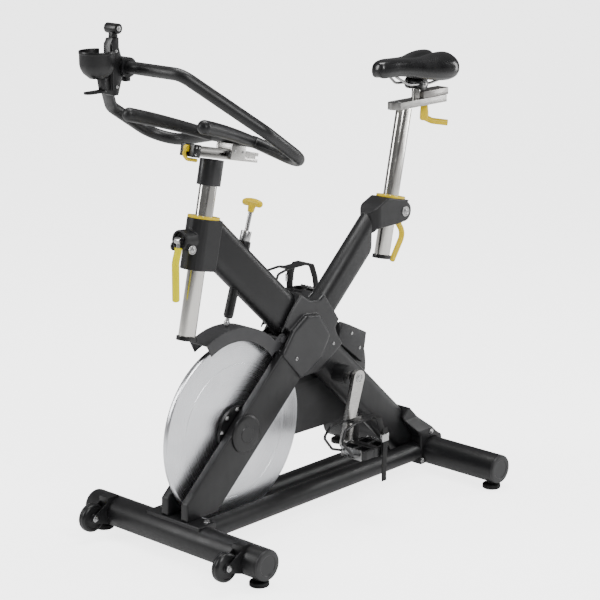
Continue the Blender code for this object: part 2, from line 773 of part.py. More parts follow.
def head_section(front, rear, half):
    """Round in front, square behind."""
    nose = arc((front + half, 0), half, math.pi / 2, 3 * math.pi / 2, 10)
    return nose + [(rear, -half), (rear, half)]


def post_space(name, foot):
    outline = stadium(*grown(POST_SIZE, 0.0004))
    place = bar_matrix(foot + UP * 0.18, UP)
    return cutter(name, prism([outline], 0.5, place))


def front_head():
    low = post_point(FRONT_POST_FOOT, FRONT_HEAD_Z[0])
    high = post_point(FRONT_POST_FOOT, FRONT_HEAD_Z[1])
    outline = head_section(-0.0435, 0.036, HEAD_WIDTH / 2)
    place = bar_matrix((low + high) / 2, UP)
    shape = prism([outline], (high - low).length, place)
    boss = cutter("front_boss", rod((0.018, 0, 0.780), (0.062, 0, 0.776), 0.0255, 24))
    bore = cutter("front_boss_bore", rod((0.000, 0, 0.781), (0.032, 0, 0.779), 0.0205, 20))
    slot = cutter("front_boss_slot", box_between((0.0, -0.0098, 0.745), (0.0315, 0.0098, 0.780)))
    add(
        "front_head",
        shape,
        "frame_black",
        bevel=0.003,
        unions=[boss],
        cuts=[bore, slot, post_space("front_post_space", FRONT_POST_FOOT)],
    )


def seat_head(seam):
    top = post_point(SEAT_POST_FOOT, SEAT_HEAD_TOP_Z)
    outline = [(seam[1].x, seam[1].z), (0.680, 0.683), (0.697, 0.697), (0.780, 0.698)]
    outline += arc((0.802, 0.727), 0.027, math.radians(-75), math.radians(62), 8)
    outline += [tuple((top + ALONG * u).xz) for u in (0.0425, -0.0425)]
    outline += [(0.7016, 0.757), (seam[0].x, seam[0].z)]
    shape = side_prism(outline, -HEAD_WIDTH / 2, HEAD_WIDTH / 2)
    nose = head_section(seam[1].x - 0.0005, 0.9, HEAD_WIDTH / 2 + 0.0002)
    around = cutter("seat_head_nose", prism([nose], 0.3, Matrix.Translation((0, 0, 0.7))))
    head = add("seat_head", shape, "frame_black", bevel=0.003)
    boolean(head, around, "INTERSECT")
    boolean(head, post_space("seat_post_space", SEAT_POST_FOOT), "DIFFERENCE")


def collars():
    hole = grown(POST_SIZE, 0.0003)
    heads = (("front", FRONT_POST_FOOT, FRONT_HEAD_Z[1]), ("seat", SEAT_POST_FOOT, SEAT_HEAD_TOP_Z))
    for name, foot, z in heads:
        place = bar_matrix(post_point(foot, z) + UP * (GAP + COLLAR_HEIGHT / 2), UP)
        ring = prism([stadium(*COLLAR_SIZE), stadium(*hole)], COLLAR_HEIGHT, place)
        add(f"{name}_collar", ring, "yellow")


def axle_housings():
    """Each bearing housing bears on the inside of its leg; the left one has the round cover."""
    barrel = HOUSING_BARREL - GAP
    for side_name, side in (("left", -1), ("right", 1)):
        flange = side_prism(circle(0.066, 28, FLYWHEEL.xz), side * 0.0108, side * (LEG_INNER_Y - GAP))
        pieces = [cross_rod(FLYWHEEL, barrel, side * 0.012, side * (LEG_OUTER_Y + GAP), 24)]
        if side < 0:
            face = LEG_OUTER_Y + GAP
            pieces.append(cross_rod(FLYWHEEL, 0.048, -face - 0.0055, -face, 28))
        for angle in (94, 132, 170):
            turn = math.radians(angle)
            place = FLYWHEEL + Vector((0.058 * math.cos(turn), 0, 0.058 * math.sin(turn)))
            place.y = side * (LEG_INNER_Y - GAP - 0.001)
            pieces.append(bolt(place, Vector((0, side, 0))))
        unions = [cutter(f"housing_{side_name}_{i}", piece) for i, piece in enumerate(pieces)]
        bore_end = -LEG_OUTER_Y + 0.0002 if side < 0 else 0.1
        bore = cross_rod(FLYWHEEL, AXLE_RADIUS + GAP, 0, bore_end, 24)
        cuts = [cutter(f"housing_bore_{side_name}", bore)]
        add(f"axle_housing_{side_name}", flange, "plastic_black", unions=unions, cuts=cuts)


def brake_guide():
    """Boss on top of the main tube and the sleeve that comes out below it."""
    way = (ROD_TOP - ROD_END).normalized()
    profile = [
        (0.0122, 0.236),
        (0.0122, 0.027),
        (0.0095, 0.021),
        (0.0060, 0.021),
        (0.0060, 0.236),
        (0.0122, 0.236),
    ]
    turn = way.to_track_quat("Z", "Y").to_matrix().to_4x4()
    place = Matrix.Translation(ROD_END) @ turn
    sleeve = turned(profile, place, 16)
    top = ROD_END + way * 0.211
    bore = cutter("brake_boss_bore", rod(ROD_END, ROD_TOP, 0.0061, 16))
    trimmed = cutter("brake_boss_trim", main_tube_outside())
    boss_part = cutter("brake_boss_piece", rod(top - way * 0.050, top, 0.0185, 16, 0.0165))
    boolean(boss_part, trimmed, "DIFFERENCE")
    add("brake_guide", sleeve, "plastic_black", unions=[boss_part], cuts=[bore])


def main_tube_outside():
    depth, width = grown((MAIN_DEPTH, MAIN_WIDTH), GAP)
    return solid_bar(HUB - MAIN_DIRECTION * 0.480, HUB + MAIN_DIRECTION * 0.1, depth, width)


def bolt(place, way, radius=0.0048, height=0.0035):
    return rod(place, place + way * height, radius, 6, radius * 0.8)


# ---- drive


def turn_of(one, two, three):
    return (two[0] - one[0]) * (three[1] - one[1]) - (two[1] - one[1]) * (three[0] - one[0])


def around(points):
    """The tight outline round points in a plane, anticlockwise."""
    runs = []
    for ordered in (sorted(points), sorted(points, reverse=True)):
        run = []
        for point in ordered:
            while len(run) > 1 and turn_of(run[-2], run[-1], point) <= 0:
                run.pop()
            run.append(point)
        runs += run[:-1]
    return runs


def guard_outline(shrink=0.0):
    """Round the flywheel's pulley, the crank's pulley and the rear lobe."""
    lobes = [(FLYWHEEL, GUARD_FRONT_RADIUS), (CRANK, GUARD_CRANK_RADIUS)]
    lobes.append((GUARD_REAR, GUARD_REAR_RADIUS))
    points = []
    for centre, radius in lobes:
        points += circle(radius - shrink, 40, centre.xz)
    return around(points)


def belt_guard():
    inner_y = GUARD_Y + 0.003
    holes = [circle(0.024, 20, FLYWHEEL.xz), circle(0.030, 20, CRANK.xz)]
    plate = side_prism(guard_outline(0.0), GUARD_Y, inner_y, holes)
    facets = [(0.632, 0.450), (0.665, 0.435), (0.728, 0.403)]
    facets += [(0.723, 0.373), (0.711, 0.323), (0.612, 0.402)]
    facet = cutter("guard_facet", side_prism(facets, 0.032, GUARD_Y + 0.001), 0.002)
    add("belt_guard_inner", plate, "trim_grey", unions=[facet])
    shell = side_prism(guard_outline(0.0), inner_y + GAP, GUARD_OUTER_Y)
    room = side_prism(guard_outline(WALL), inner_y - 0.002, GUARD_OUTER_Y - WALL)
    hole = cross_rod(CRANK, 0.0163, 0.07, 0.1, 18)
    add(
        "belt_guard_outer",
        shell,
        "frame_black",
        cuts=[cutter("guard_room", room), cutter("guard_hole", hole)],
        solver="MANIFOLD",
    )


def pulley(name, centre, radius, axle, steps, look, pivot):
    """A belt wheel and its axle turned in one: axle end, hub, thin web, band with two flanges."""
    half = PULLEY_WIDTH / 2
    hub, band, web = AXLE_RADIUS + 0.008, radius * 0.86, 0.003
    rim = [
        (band, half),
        (radius + 0.003, half),
        (radius + 0.003, half - 0.0018),
        (radius, half - 0.0018),
    ]
    upper = [(0, axle[1] - PULLEY_Y), (AXLE_RADIUS, axle[1] - PULLEY_Y), (AXLE_RADIUS, half)]
    upper += [(hub, half), (hub, web), (band, web)] + rim
    lower = [(r, -h) for r, h in reversed(rim)] + [(band, -web), (hub, -web), (hub, -half)]
    lower += [(AXLE_RADIUS, -half), (AXLE_RADIUS, axle[0] - PULLEY_Y), (0, axle[0] - PULLEY_Y)]
    place = across_matrix(Vector((centre.x, PULLEY_Y, centre.z)))
    add(name, turned(upper + lower, place, steps), look, pivot)


def drive():
    pivot = make_pivot("flywheel_axis", FLYWHEEL, BIKE)
    half = FLYWHEEL_THICKNESS / 2
    profile = [
        (AXLE_RADIUS + GAP, half + 0.0020),
        (0.034, half + 0.0020),
        (0.034, half),
        (FLYWHEEL_RADIUS - 0.003, half),
        (FLYWHEEL_RADIUS, half - 0.003),
    ]
    profile += [(radius, -height) for radius, height in reversed(profile)]
    profile.append(profile[0])
    add("flywheel", turned(profile, across_matrix(FLYWHEEL), 56), "polished_steel", pivot)
    axle = (-LEG_OUTER_Y + 0.0006, PULLEY_Y + 0.012)
    pulley("flywheel_axle", FLYWHEEL, DRIVEN_RADIUS, axle, 20, "aluminium", pivot)
    outline = [
        two_circle_outline(CRANK, DRIVE_RADIUS + r, FLYWHEEL, DRIVEN_RADIUS + r, 24)
        for r in (0.0004 + BELT_THICKNESS, 0.0004)
    ]
    half_belt = BELT_WIDTH / 2
    belt = side_prism(outline[0], PULLEY_Y - half_belt, PULLEY_Y + half_belt, [outline[1]])
    add("drive_belt", belt, "rubber_black")
    belt_guard()
    crank_set()


def crank_set():
    pivot = make_pivot("crank_axis", CRANK, BIKE)
    axle = (-CRANK_OUTER_Y + 0.002, CRANK_OUTER_Y - 0.002)
    pulley("crank_axle", CRANK, DRIVE_RADIUS, axle, 32, "aluminium", pivot)
    down = Vector((-math.sin(CRANK_LEAN), 0, -math.cos(CRANK_LEAN)))
    for name, side, way in (("left", -1, down), ("right", 1, -down)):
        tip = CRANK + way * CRANK_LENGTH
        outline = two_circle_outline(CRANK, 0.0205, tip, 0.0145, 10)
        bore = circle(AXLE_RADIUS + GAP, 20, CRANK.xz)
        arm = side_prism(outline, side * CRANK_INNER_Y, side * CRANK_OUTER_Y, [bore])
        spindle_end = PEDAL_Y + PEDAL_WIDTH / 2 - 0.006
        spindle = cross_rod(tip, 0.0065, side * (CRANK_OUTER_Y - 0.003), side * spindle_end, 16)
        step = cross_rod(
            tip, 0.0105, side * (CRANK_OUTER_Y - 0.003), side * (CRANK_OUTER_Y + 0.0095), 16
        )
        unions = [cutter(f"spindle_{name}", spindle), cutter(f"spindle_step_{name}", step)]
        add(f"crank_{name}", arm, "aluminium", pivot, bevel=0.002, segments=1, unions=unions)
        pedal(name, side, tip)


def pedal(name, side, tip):
    centre = Vector((tip.x, side * PEDAL_Y, tip.z))
    pivot = make_pivot(f"pedal_axis_{name}", centre, BIKE)
    flat = Matrix.Translation(centre)
    long, wide = PEDAL_LENGTH / 2, PEDAL_WIDTH / 2
    outer = [(-long, -wide), (long, -wide), (long, wide), (-long, wide)]
    holes = []
    for way in (-1, 1):
        near, far = way * 0.015, way * (long - 0.007)
        holes.append([(near, -wide + 0.008), (far, -wide + 0.008), (far, wide - 0.008)])
        holes[-1].append((near, wide - 0.008))
    body = prism([outer, *holes], PEDAL_HEIGHT, flat)
    bore_end = (PEDAL_WIDTH / 2 - 0.004) * side
    bore = cross_rod(tip, 0.0071, centre.y - side * 0.06, centre.y + bore_end, 14)
    bores = [cutter(f"bore_{name}", bore)]
    add(f"pedal_{name}", body, "plastic_black", pivot, bevel=0.002, segments=1, cuts=bores,
        solver="MANIFOLD")
    toe_cage(name, side, centre, pivot)


def smooth_route(corners, radii, steps=5):
    """A path through corner points, each corner rounded to its own radius."""
    path = [corners[0]]
    for before, corner, after, radius in zip(corners, corners[1:], corners[2:], radii):
        one, two = (before - corner).normalized(), (after - corner).normalized()
        half = math.acos(max(-1, min(1, one.dot(two)))) / 2
        reach = radius / math.tan(half)
        centre = corner + (one + two).normalized() * (radius / math.sin(half))
        start, end = corner + one * reach, corner + two * reach
        first, last = start - centre, end - centre
        turn = first.angle(last)
        for step in range(steps + 1):
            t = step / steps
            blend = first * math.sin((1 - t) * turn) + last * math.sin(t * turn)
            path.append(centre + blend / math.sin(turn))
    path.append(corners[-1])
    return path


def toe_cage(name, side, centre, pivot):
    """The loop over the rider's toe and the strap round the foot."""
    front = -PEDAL_LENGTH / 2 - 0.0042
    half = [(0.030, 0.002), (0.034, 0.012), (0.030, 0.052), (0.024, 0.078), (0.017, 0.084)]
    ahead = [0.0, -0.030, -0.066, -0.046, 0.004]
    corners = [centre + Vector((front + x, -y, z)) for x, (y, z) in zip(ahead, half)]
    corners += [centre + Vector((front + x, y, z)) for x, (y, z) in reversed(list(zip(ahead, half)))]
    loop = tube_along(smooth_route(corners, [0.012] * 8, 3), 0.0035, resolution=1)
    wide, high = PEDAL_WIDTH / 2 + 0.0035, 0.080
    low = -PEDAL_HEIGHT / 2 - 0.0008
    outlines = []
    for inset in (0.0, 0.0025):
        edge_y, top_y = wide - inset, 0.026
        outline = [(-edge_y + 0.004, low - 0.0025 + inset), (edge_y - 0.004, low - 0.0025 + inset)]
        outline += [(edge_y, low + 0.003), (edge_y, 0.020), (edge_y - 0.006, 0.052)]
        outline += [(top_y, high - inset), (-top_y, high - inset)]
        outline += [(-edge_y + 0.006, 0.052), (-edge_y, 0.020), (-edge_y, low + 0.003)]
        outlines.append(outline)
    across = frame_matrix(centre + Vector((0.0215, 0, 0)), ACROSS, Vector((0, 0, 1)), Vector((1, 0, 0)))
    strap = prism(outlines, 0.018, across)
    outside = centre + Vector((0.030, side * (wide + 0.0012), 0))
    tail = box_between(
        outside + Vector((0, -0.001, -0.078)), outside + Vector((0.010, 0.001, 0.062))
    )
    clip = box_between(
        outside + Vector((-0.012, -0.006, 0.028)), outside + Vector((0.012, 0.006, 0.048))
    )
    rest = [cutter(f"strap_tail_{name}", tail), cutter(f"strap_clip_{name}", clip)]
    bridge_low = centre + Vector((-0.052, -0.016, high - 0.0005))
    bridge = box_between(bridge_low, centre + Vector((0.028, 0.016, high + 0.003)))
    rest += [cutter(f"strap_bridge_{name}", bridge), cutter(f"strap_{name}", strap)]
    add(f"toe_cage_{name}", loop, "plastic_black", pivot, unions=rest)


# ---- brake


def brake():
    way = (ROD_TOP - ROD_END).normalized()
    turn = way.to_track_quat("Z", "Y").to_matrix().to_4x4()
    place = Matrix.Translation(ROD_END) @ turn
    pivot = make_pivot("brake_axis", ROD_TOP, BIKE)
    long = (ROD_TOP - ROD_END).length
    rod_profile = [
        (0, long - 0.018),
        (0.0052, long - 0.018),
        (0.0052, 0.012),
        (0.0075, 0.012),
        (0.0075, 0.006),
        (0.0055, 0.0018),
        (0.0015, 0.0),
        (0, 0.0),
    ]
    add("brake_rod", turned(rod_profile, place, 16), "steel", pivot)
    knob_stem = rod(ROD_TOP - way * 0.0175, ROD_TOP, 0.0075, 16, 0.0095)
    bar = []
    for step in range(9):
        across = KNOB_REACH * (step / 4 - 1)
        bar.append(ROD_TOP + ACROSS * across + way * (0.007 - KNOB_DROP * (step / 4 - 1) ** 2))
    scales = [0.62, 0.95, 1.04, 1.1, 1.15, 1.1, 1.04, 0.95, 0.62]
    grip = cutter("knob_grip", tube_along(bar, 0.0085, scales=scales))
    add("brake_knob", knob_stem, "yellow", pivot, unions=[grip])
    brake_arm()


def fender_band(outer, inner, half, steps=18, spill=0.0):
    outline = arc(FENDER_CENTRE.xz, outer, FENDER_FROM - spill, FENDER_TO + spill, steps)
    outline += arc(FENDER_CENTRE.xz, inner, FENDER_TO + spill, FENDER_FROM - spill, steps)
    return side_prism(outline, -half, half)


def brake_arm():
    """A channel over the top of the flywheel, hinged at its rear end."""
    pivot = make_pivot("brake_arm_axis", BRAKE_PIVOT, BIKE)
    plate = 0.003
    band = fender_band(FENDER_RADIUS, FENDER_RADIUS - FENDER_DEPTH, FENDER_Y)
    ear = two_circle_outline(BRAKE_PIVOT, 0.015, (0.316, 0, 0.466), 0.016, 8)
    ears = cutter("arm_ears", side_prism(ear, -FENDER_Y, FENDER_Y))
    room = fender_band(FENDER_RADIUS - plate, FENDER_RADIUS - 0.06, FENDER_Y - plate, 18, 0.2)
    slot = cutter("arm_channel", room)
    lug_room = box_between((0.300, 0.003 - FENDER_Y, 0.43), (0.37, FENDER_Y - 0.003, 0.53))
    pin = cutter("arm_pin", cross_rod(BRAKE_PIVOT, 0.005, -FENDER_Y - 0.001, FENDER_Y + 0.001, 12))
    heads = [
        cutter(
            f"arm_bolt_{side}",
            cross_rod(BRAKE_PIVOT, 0.009, side * (FENDER_Y - 0.001), side * (FENDER_Y + 0.0045), 12),
        )
        for side in (-1, 1)
    ]
    leg_room = leg_outline(0.004)
    legs = joined(
        *[side_prism(leg_room, side * (LEG_INNER_Y - 0.002), side * 0.06) for side in (-1, 1)]
    )
    tube_room = solid_bar(HUB - MAIN_DIRECTION * 0.40, HUB, MAIN_DEPTH + 0.005, MAIN_WIDTH + 0.004)
    arm = add("brake_arm", band, "trim_grey", pivot)
    boolean(arm, ears, "UNION")
    boolean(arm, slot, "DIFFERENCE")
    boolean(arm, cutter("arm_lug_room", lug_room), "DIFFERENCE")
    boolean(arm, cutter("arm_leg_room", legs), "DIFFERENCE")
    boolean(arm, cutter("arm_tube_room", tube_room), "DIFFERENCE")
    for helper in (pin, *heads):
        boolean(arm, helper, "UNION")
    brake_pad(pivot)


def brake_pad(pivot):
    """A felt block hanging from the channel onto the rim, just clear of it at rest."""
    inner = FLYWHEEL_RADIUS + 0.0035
    outline = arc(FLYWHEEL.xz, inner, math.radians(60), math.radians(72), 6)
    outline += arc(FENDER_CENTRE.xz, FENDER_RADIUS - 0.0034, math.radians(66), math.radians(50), 6)
    add("brake_pad", side_prism(outline, -0.012, 0.012), "felt", pivot)


# ---- handlebar


def post_shape(foot, top_z, cap_size):
    top = post_point(foot, top_z)
    low = foot + UP * 0.006
    inner = (POST_SIZE[0] - 0.005, POST_SIZE[1] - 0.005)
    tube = prism(
        [stadium(*POST_SIZE), stadium(*inner)], (top - low).length, bar_matrix((top + low) / 2, UP)
    )
    cap = prism([stadium(*cap_size)], 0.009, bar_matrix(foot + UP * 0.002, UP))
    return tube, cap


def handlebar_set():
    post_pivot = make_pivot("handlebar_post_axis", FRONT_POST_FOOT, BIKE)
    tube, cap = post_shape(FRONT_POST_FOOT, FRONT_POST_TOP_Z, (0.054, 0.040))
    low = post_point(FRONT_POST_FOOT, 0.897)
    high = post_point(FRONT_POST_FOOT, FRONT_POST_TOP_Z + 0.001)
    sleeve = prism(
        [stadium(0.062, 0.046), stadium(0.044, 0.030)], (high - low).length,
        bar_matrix((low + high) / 2, UP),
    )
    unions = [cutter("front_post_cap", cap), cutter("front_sleeve", sleeve)]
    add("handlebar_post", tube, "steel", post_pivot, unions=unions)
    slide_pivot = make_pivot("handlebar_slide_axis", rail_point(0.19), BIKE)
    handlebar_rail(post_pivot)
    carriage(slide_pivot)
    handlebar(slide_pivot)
    console(slide_pivot)
    bottle_holder(slide_pivot)
    rail_lever()
    front_lever()


def rail_point(x, lift=0.0):
    """A point on the handlebar rail's centre line, at right angles to the post."""
    base_point = Vector((RAIL_FRONT_X, 0, 0.990))
    return base_point + ALONG * ((x - RAIL_FRONT_X) / ALONG.x) + UP * lift


def handlebar_rail(pivot):
    """An extrusion with a slot in each side, and the black block on its front end."""
    wide, high = RAIL_SIZE[0] / 2, RAIL_SIZE[1] / 2
    slot = 0.004
    right = [(wide, -high), (wide, -slot), (wide - 0.008, -slot), (wide - 0.008, slot)]
    right += [(wide, slot), (wide, high)]
    outline = right + [(-y, -z) for y, z in right]
    start, end = rail_point(RAIL_FRONT_X + 0.016), rail_point(RAIL_REAR_X)
    place = frame_matrix((start + end) / 2, ACROSS, UP, ALONG)
    shape = prism([outline], (end - start).length, place)
    block_place = frame_matrix(rail_point(RAIL_FRONT_X + 0.007), ACROSS, UP, ALONG)
    block = cutter("rail_block", box((0.0462, 0.0303, 0.0222), block_place))
    bore = cutter(
        "rail_block_slot",
        box((0.0112, 0.034, 0.0187), frame_matrix(rail_point(0.045), ACROSS, UP, ALONG)),
    )
    add("handlebar_rail", shape, "aluminium", pivot, unions=[block], cuts=[bore], solver="MANIFOLD")


def carriage(pivot):
    """The block that slides on the rail and holds the cross tube."""
    place = frame_matrix(rail_point(0.189, 0.008), ACROSS, UP, ALONG)
    room = frame_matrix(rail_point(0.189, -0.010), ACROSS, UP, ALONG)
    rail_room = box((RAIL_SIZE[0] + 0.0008, RAIL_SIZE[1] + 0.0204, 0.12), room)
    bar_room = cross_rod(BAR_INNER, BAR_RADIUS + GAP, -0.05, 0.05, 20)
    add(
        "handlebar_carriage",
        box((0.054, 0.038, 0.048), place),
        "aluminium",
        pivot,
        bevel=0.003,
        cuts=[cutter("rail_room", rail_room), cutter("bar_room", bar_room)],
    )


def handlebar(pivot):
    """One closed loop of tube with two padded paddles grown from its rear corners."""
    corners = []
    for side in (1, -1):
        run = [BAR_FRONT, BAR_KINK, BAR_TIP, BAR_INNER]
        run = [Vector((p.x, side * p.y, p.z)) for p in run]
        corners += run if side == 1 else run[::-1]
    radii = list(BAR_BENDS) + list(BAR_BENDS[::-1])
    ring = [corners[-1]] + corners + [corners[0]]
    route = smooth_route(ring, radii, 6)[1:-1]
    loop = tube_along(route, BAR_RADIUS, cyclic=True)
    paddles = []
    for side in (-1, 1):
        start = Vector((BAR_INNER.x - 0.004, side * BAR_INNER.y, BAR_INNER.z))
        end = Vector((PADDLE_END.x, side * PADDLE_END.y, PADDLE_END.z))
        bend = start + (end - start) * 0.5 + Vector((0, side * 0.006, 0.006))
        points, scales = [], []
        for step in range(11):
            t = step / 10
            points.append(start * (1 - t) ** 2 + bend * 2 * t * (1 - t) + end * t**2)
            scales.append(0.97 + 0.30 * math.sin(math.pi * min(1, t * 1.1)) ** 2 * t)
        tail = (points[-1] - points[-2]).normalized()
        for reach, scale in ((0.007, 0.90), (0.012, 0.66), (0.015, 0.30)):
            points.append(end + tail * reach)
            scales.append(scale)
        paddles.append(cutter(f"paddle_{side}", tube_along(points, BAR_RADIUS, scales=scales)))
    add("handlebar", loop, "rubber_black", pivot, unions=paddles)


def console(pivot):
    """The clamp on the front tube with its upright plate."""
    bar = Vector((BAR_FRONT.x, 0, BAR_FRONT.z))
    low, high = CONSOLE_Y - 0.020, CONSOLE_Y + 0.020
    ring = [circle(0.0225, 20, bar.xz), circle(BAR_RADIUS + GAP, 20, bar.xz)]
    clamp = side_prism(ring[0], low, high, [ring[1]])
    plate = box_between((-0.143, CONSOLE_Y - 0.011, 1.133), (-0.108, CONSOLE_Y + 0.011, 1.262))
    neck = box_between((-0.131, CONSOLE_Y - 0.006, 1.255), (-0.115, CONSOLE_Y + 0.006, 1.285))
    top = cross_rod((-0.123, 0, 1.283), 0.012, CONSOLE_Y - 0.018, CONSOLE_Y + 0.018, 20)
    tube_room = cross_rod(bar, BAR_RADIUS + GAP, low - 0.01, high + 0.01, 20)
    unions = [cutter(f"console_piece_{i}", p) for i, p in enumerate((plate, neck, top))]
    add("console_bracket", clamp, "plastic_black", pivot, unions=unions,
        cuts=[cutter("console_tube_room", tube_room)])


def bottle_holder(pivot):
    """An open cup in front of the clamp, with a small tongue under it."""
    outer, wall = HOLDER_RADIUS, 0.0028
    profile = [
        (0, 0.008),
        (0.020, 0.008),
        (outer - 0.010, 0.022),
        (outer - wall, 0.036),
        (outer - wall, HOLDER_HEIGHT),
        (outer, HOLDER_HEIGHT),
        (outer, 0.032),
        (outer - 0.008, 0.014),
        (0.018, 0.004),
        (0, 0.004),
    ]
    cup = turned(profile[::-1], Matrix.Translation(HOLDER), 28)
    bmesh.ops.recalc_face_normals(cup, faces=cup.faces)
    stalk = box_between((-0.167, CONSOLE_Y - 0.007, 1.146), (-0.153, CONSOLE_Y + 0.007, 1.178))
    tongue = box_between((-0.211, CONSOLE_Y - 0.012, 1.143), (-0.150, CONSOLE_Y + 0.012, 1.148))
    room = box_between((-0.1433, CONSOLE_Y - 0.05, 1.10), (-0.08, CONSOLE_Y + 0.05, 1.30))
    unions = [cutter("holder_stalk", stalk), cutter("holder_tongue", tongue)]
    add("bottle_holder", cup, "plastic_black", pivot, unions=unions,
        cuts=[cutter("holder_room", room)])


def rail_lever():
    """The yellow clamp lever that wraps under the front end of the rail."""
    centre = rail_point(0.046, 0.004)
    pivot = make_pivot("handlebar_lever_axis", centre, BIKE)
    hub = cross_rod(centre, 0.0075, -0.005, 0.005, 16)
    corners = [
        centre,
        rail_point(0.036, -0.010),
        rail_point(0.052, -0.0215),
        rail_point(0.082, -0.0225),
    ]
    arm = tube_along(smooth_route(corners, [0.010, 0.010], 4), 0.0042)
    add("handlebar_lever", hub, "yellow", pivot, unions=[cutter("rail_lever_arm", arm)])


def front_lever():
    """The lemon cam lever that hangs in front of the front head."""
    centre = Vector((0.0165, 0, 0.780))
    pivot = make_pivot("front_lever_axis", centre, BIKE)
    hub = cross_rod(centre, 0.0085, -0.009, 0.009, 16)
    bends = [Vector((0.014, 0, 0.757)), Vector((0.004, 0, 0.728)), Vector((0.004, 0, 0.634))]
    arm = tube_along(smooth_route([centre, *bends], [0.02, 0.02], 4), 0.0078)
    add("front_lever", hub, "lemon", pivot, unions=[cutter("front_lever_arm", arm)])


# ---- seat


def seat_set():
    pivot = make_pivot("seat_post_axis", SEAT_POST_FOOT, BIKE)
    tube, cap = post_shape(SEAT_POST_FOOT, SEAT_POST_TOP_Z + 0.004, (0.054, 0.040))
    trim = cutter("seat_post_trim", box_between((0.7, -0.1, SEAT_RAIL_Z[0] - GAP), (1.0, 0.1, 1.1)))
    add("seat_post", tube, "steel", pivot, unions=[cutter("seat_post_cap", cap)], cuts=[trim])
    seat_rail(pivot)
    slide = make_pivot("seat_slide_axis", Vector((STUB_X, 0, SEAT_RAIL_Z[1])), BIKE)
    seat_carriage(slide)
    saddle_set()
    seat_levers()


def seat_rail(pivot):
    """A flat bar with a rounded front end and a slot along its middle."""
    middle_z = sum(SEAT_RAIL_Z) / 2
    half = SEAT_RAIL_WIDTH / 2
    round_end = arc((SEAT_RAIL_X[0] + half, 0), half, math.pi / 2, 3 * math.pi / 2, 12)
    outline = round_end + [(SEAT_RAIL_X[1], -half), (SEAT_RAIL_X[1], half)]
    slot = [(0.868, -0.0055), (0.966, -0.0055), (0.966, 0.0055), (0.868, 0.0055)]
    height = SEAT_RAIL_Z[1] - SEAT_RAIL_Z[0]
    shape = prism([outline, slot], height, Matrix.Translation((0, 0, middle_z)))
    add("seat_rail", shape, "aluminium", pivot, bevel=0.002)


def seat_carriage(pivot):
    low = SEAT_RAIL_Z[1] + GAP
    bar = box_between((CARRIAGE_X[0] + 0.014, -0.019, low), (CARRIAGE_X[1], 0.019, CARRIAGE_TOP_Z))
    stub = cutter("seat_stub", rod((STUB_X, 0, low), (STUB_X, 0, 1.0385), 0.0115, 20))
    foot = cutter(
        "seat_stub_foot",
        box_between((STUB_X - 0.010, -0.010, low), (STUB_X + 0.02, 0.010, low + 0.004)),
    )
    add("seat_carriage", bar, "steel", pivot, bevel=0.0015, unions=[stub, foot])


def seat_levers():
    centre = Vector((0.913, 0, 0.972))
    pivot = make_pivot("seat_slide_lever_axis", centre, BIKE)
    stud = cutter("slide_stud", rod((0.913, 0, 0.985), (0.913, 0, 1.009), 0.0042, 12))
    hub = rod((0.913, 0, 0.950), (0.913, 0, 0.9915), 0.0115, 20, 0.009)
    corners = [Vector((0.913, 0, 0.956)), Vector((0.928, -0.014, 0.9485)), Vector((0.958, -0.045, 0.946))]
    arm = cutter("slide_lever_arm", tube_along(smooth_route(corners, [0.02], 3), 0.0062))
    add("seat_slide_lever", hub, "yellow", pivot, unions=[arm, stud])
    cam = Vector((0.8095, 0, 0.6925))
    cam_pivot = make_pivot("seat_lever_axis", cam, BIKE)
    cam_hub = cross_rod(cam, 0.0072, -0.009, 0.009, 16)
    corners = [cam, Vector((0.834, 0, 0.659)), Vector((0.790, 0, 0.590))]
    arm = cutter("seat_lever_arm", tube_along(smooth_route(corners, [0.030], 5), 0.0075))
    add("seat_lever", cam_hub, "yellow", cam_pivot, unions=[arm])


def saddle_sections():
    """(x, half width, top, bottom) from the nose to the rear."""
    return [
        (0.717, 0.006, 1.098, 1.085),
        (0.721, 0.016, 1.107, 1.076),
        (0.732, 0.022, 1.113, 1.072),
        (0.756, 0.026, 1.115, 1.073),
        (0.793, 0.032, 1.114, 1.072),
        (0.830, 0.044, 1.116, 1.068),
        (0.868, 0.060, 1.121, 1.064),
        (0.905, 0.073, 1.128, 1.061),
        (0.938, 0.079, 1.130, 1.060),
        (0.961, 0.076, 1.127, 1.062),
        (0.973, 0.064, 1.117, 1.070),
        (0.978, 0.044, 1.104, 1.084),
    ]


def saddle_shape(steps=20):
    shape = bmesh.new()
    rings = []
    for x, half, top, bottom in saddle_sections():
        middle, tall = (top + bottom) / 2, (top - bottom) / 2
        ring = []
        for step in range(steps):
            turn = math.tau * step / steps
            c, s = math.cos(turn), math.sin(turn)
            y = half * math.copysign(abs(c) ** 0.75, c)
            ring.append(shape.verts.new((x, y, middle + tall * math.copysign(abs(s) ** 0.8, s))))
        rings.append(ring)
    for one, two in zip(rings, rings[1:]):
        for step in range(steps):
            nxt = (step + 1) % steps
            shape.faces.new((one[step], one[nxt], two[nxt], two[step]))
    shape.faces.new(rings[0])
    shape.faces.new(rings[-1])
    bmesh.ops.recalc_face_normals(shape, faces=shape.faces)
    return shape


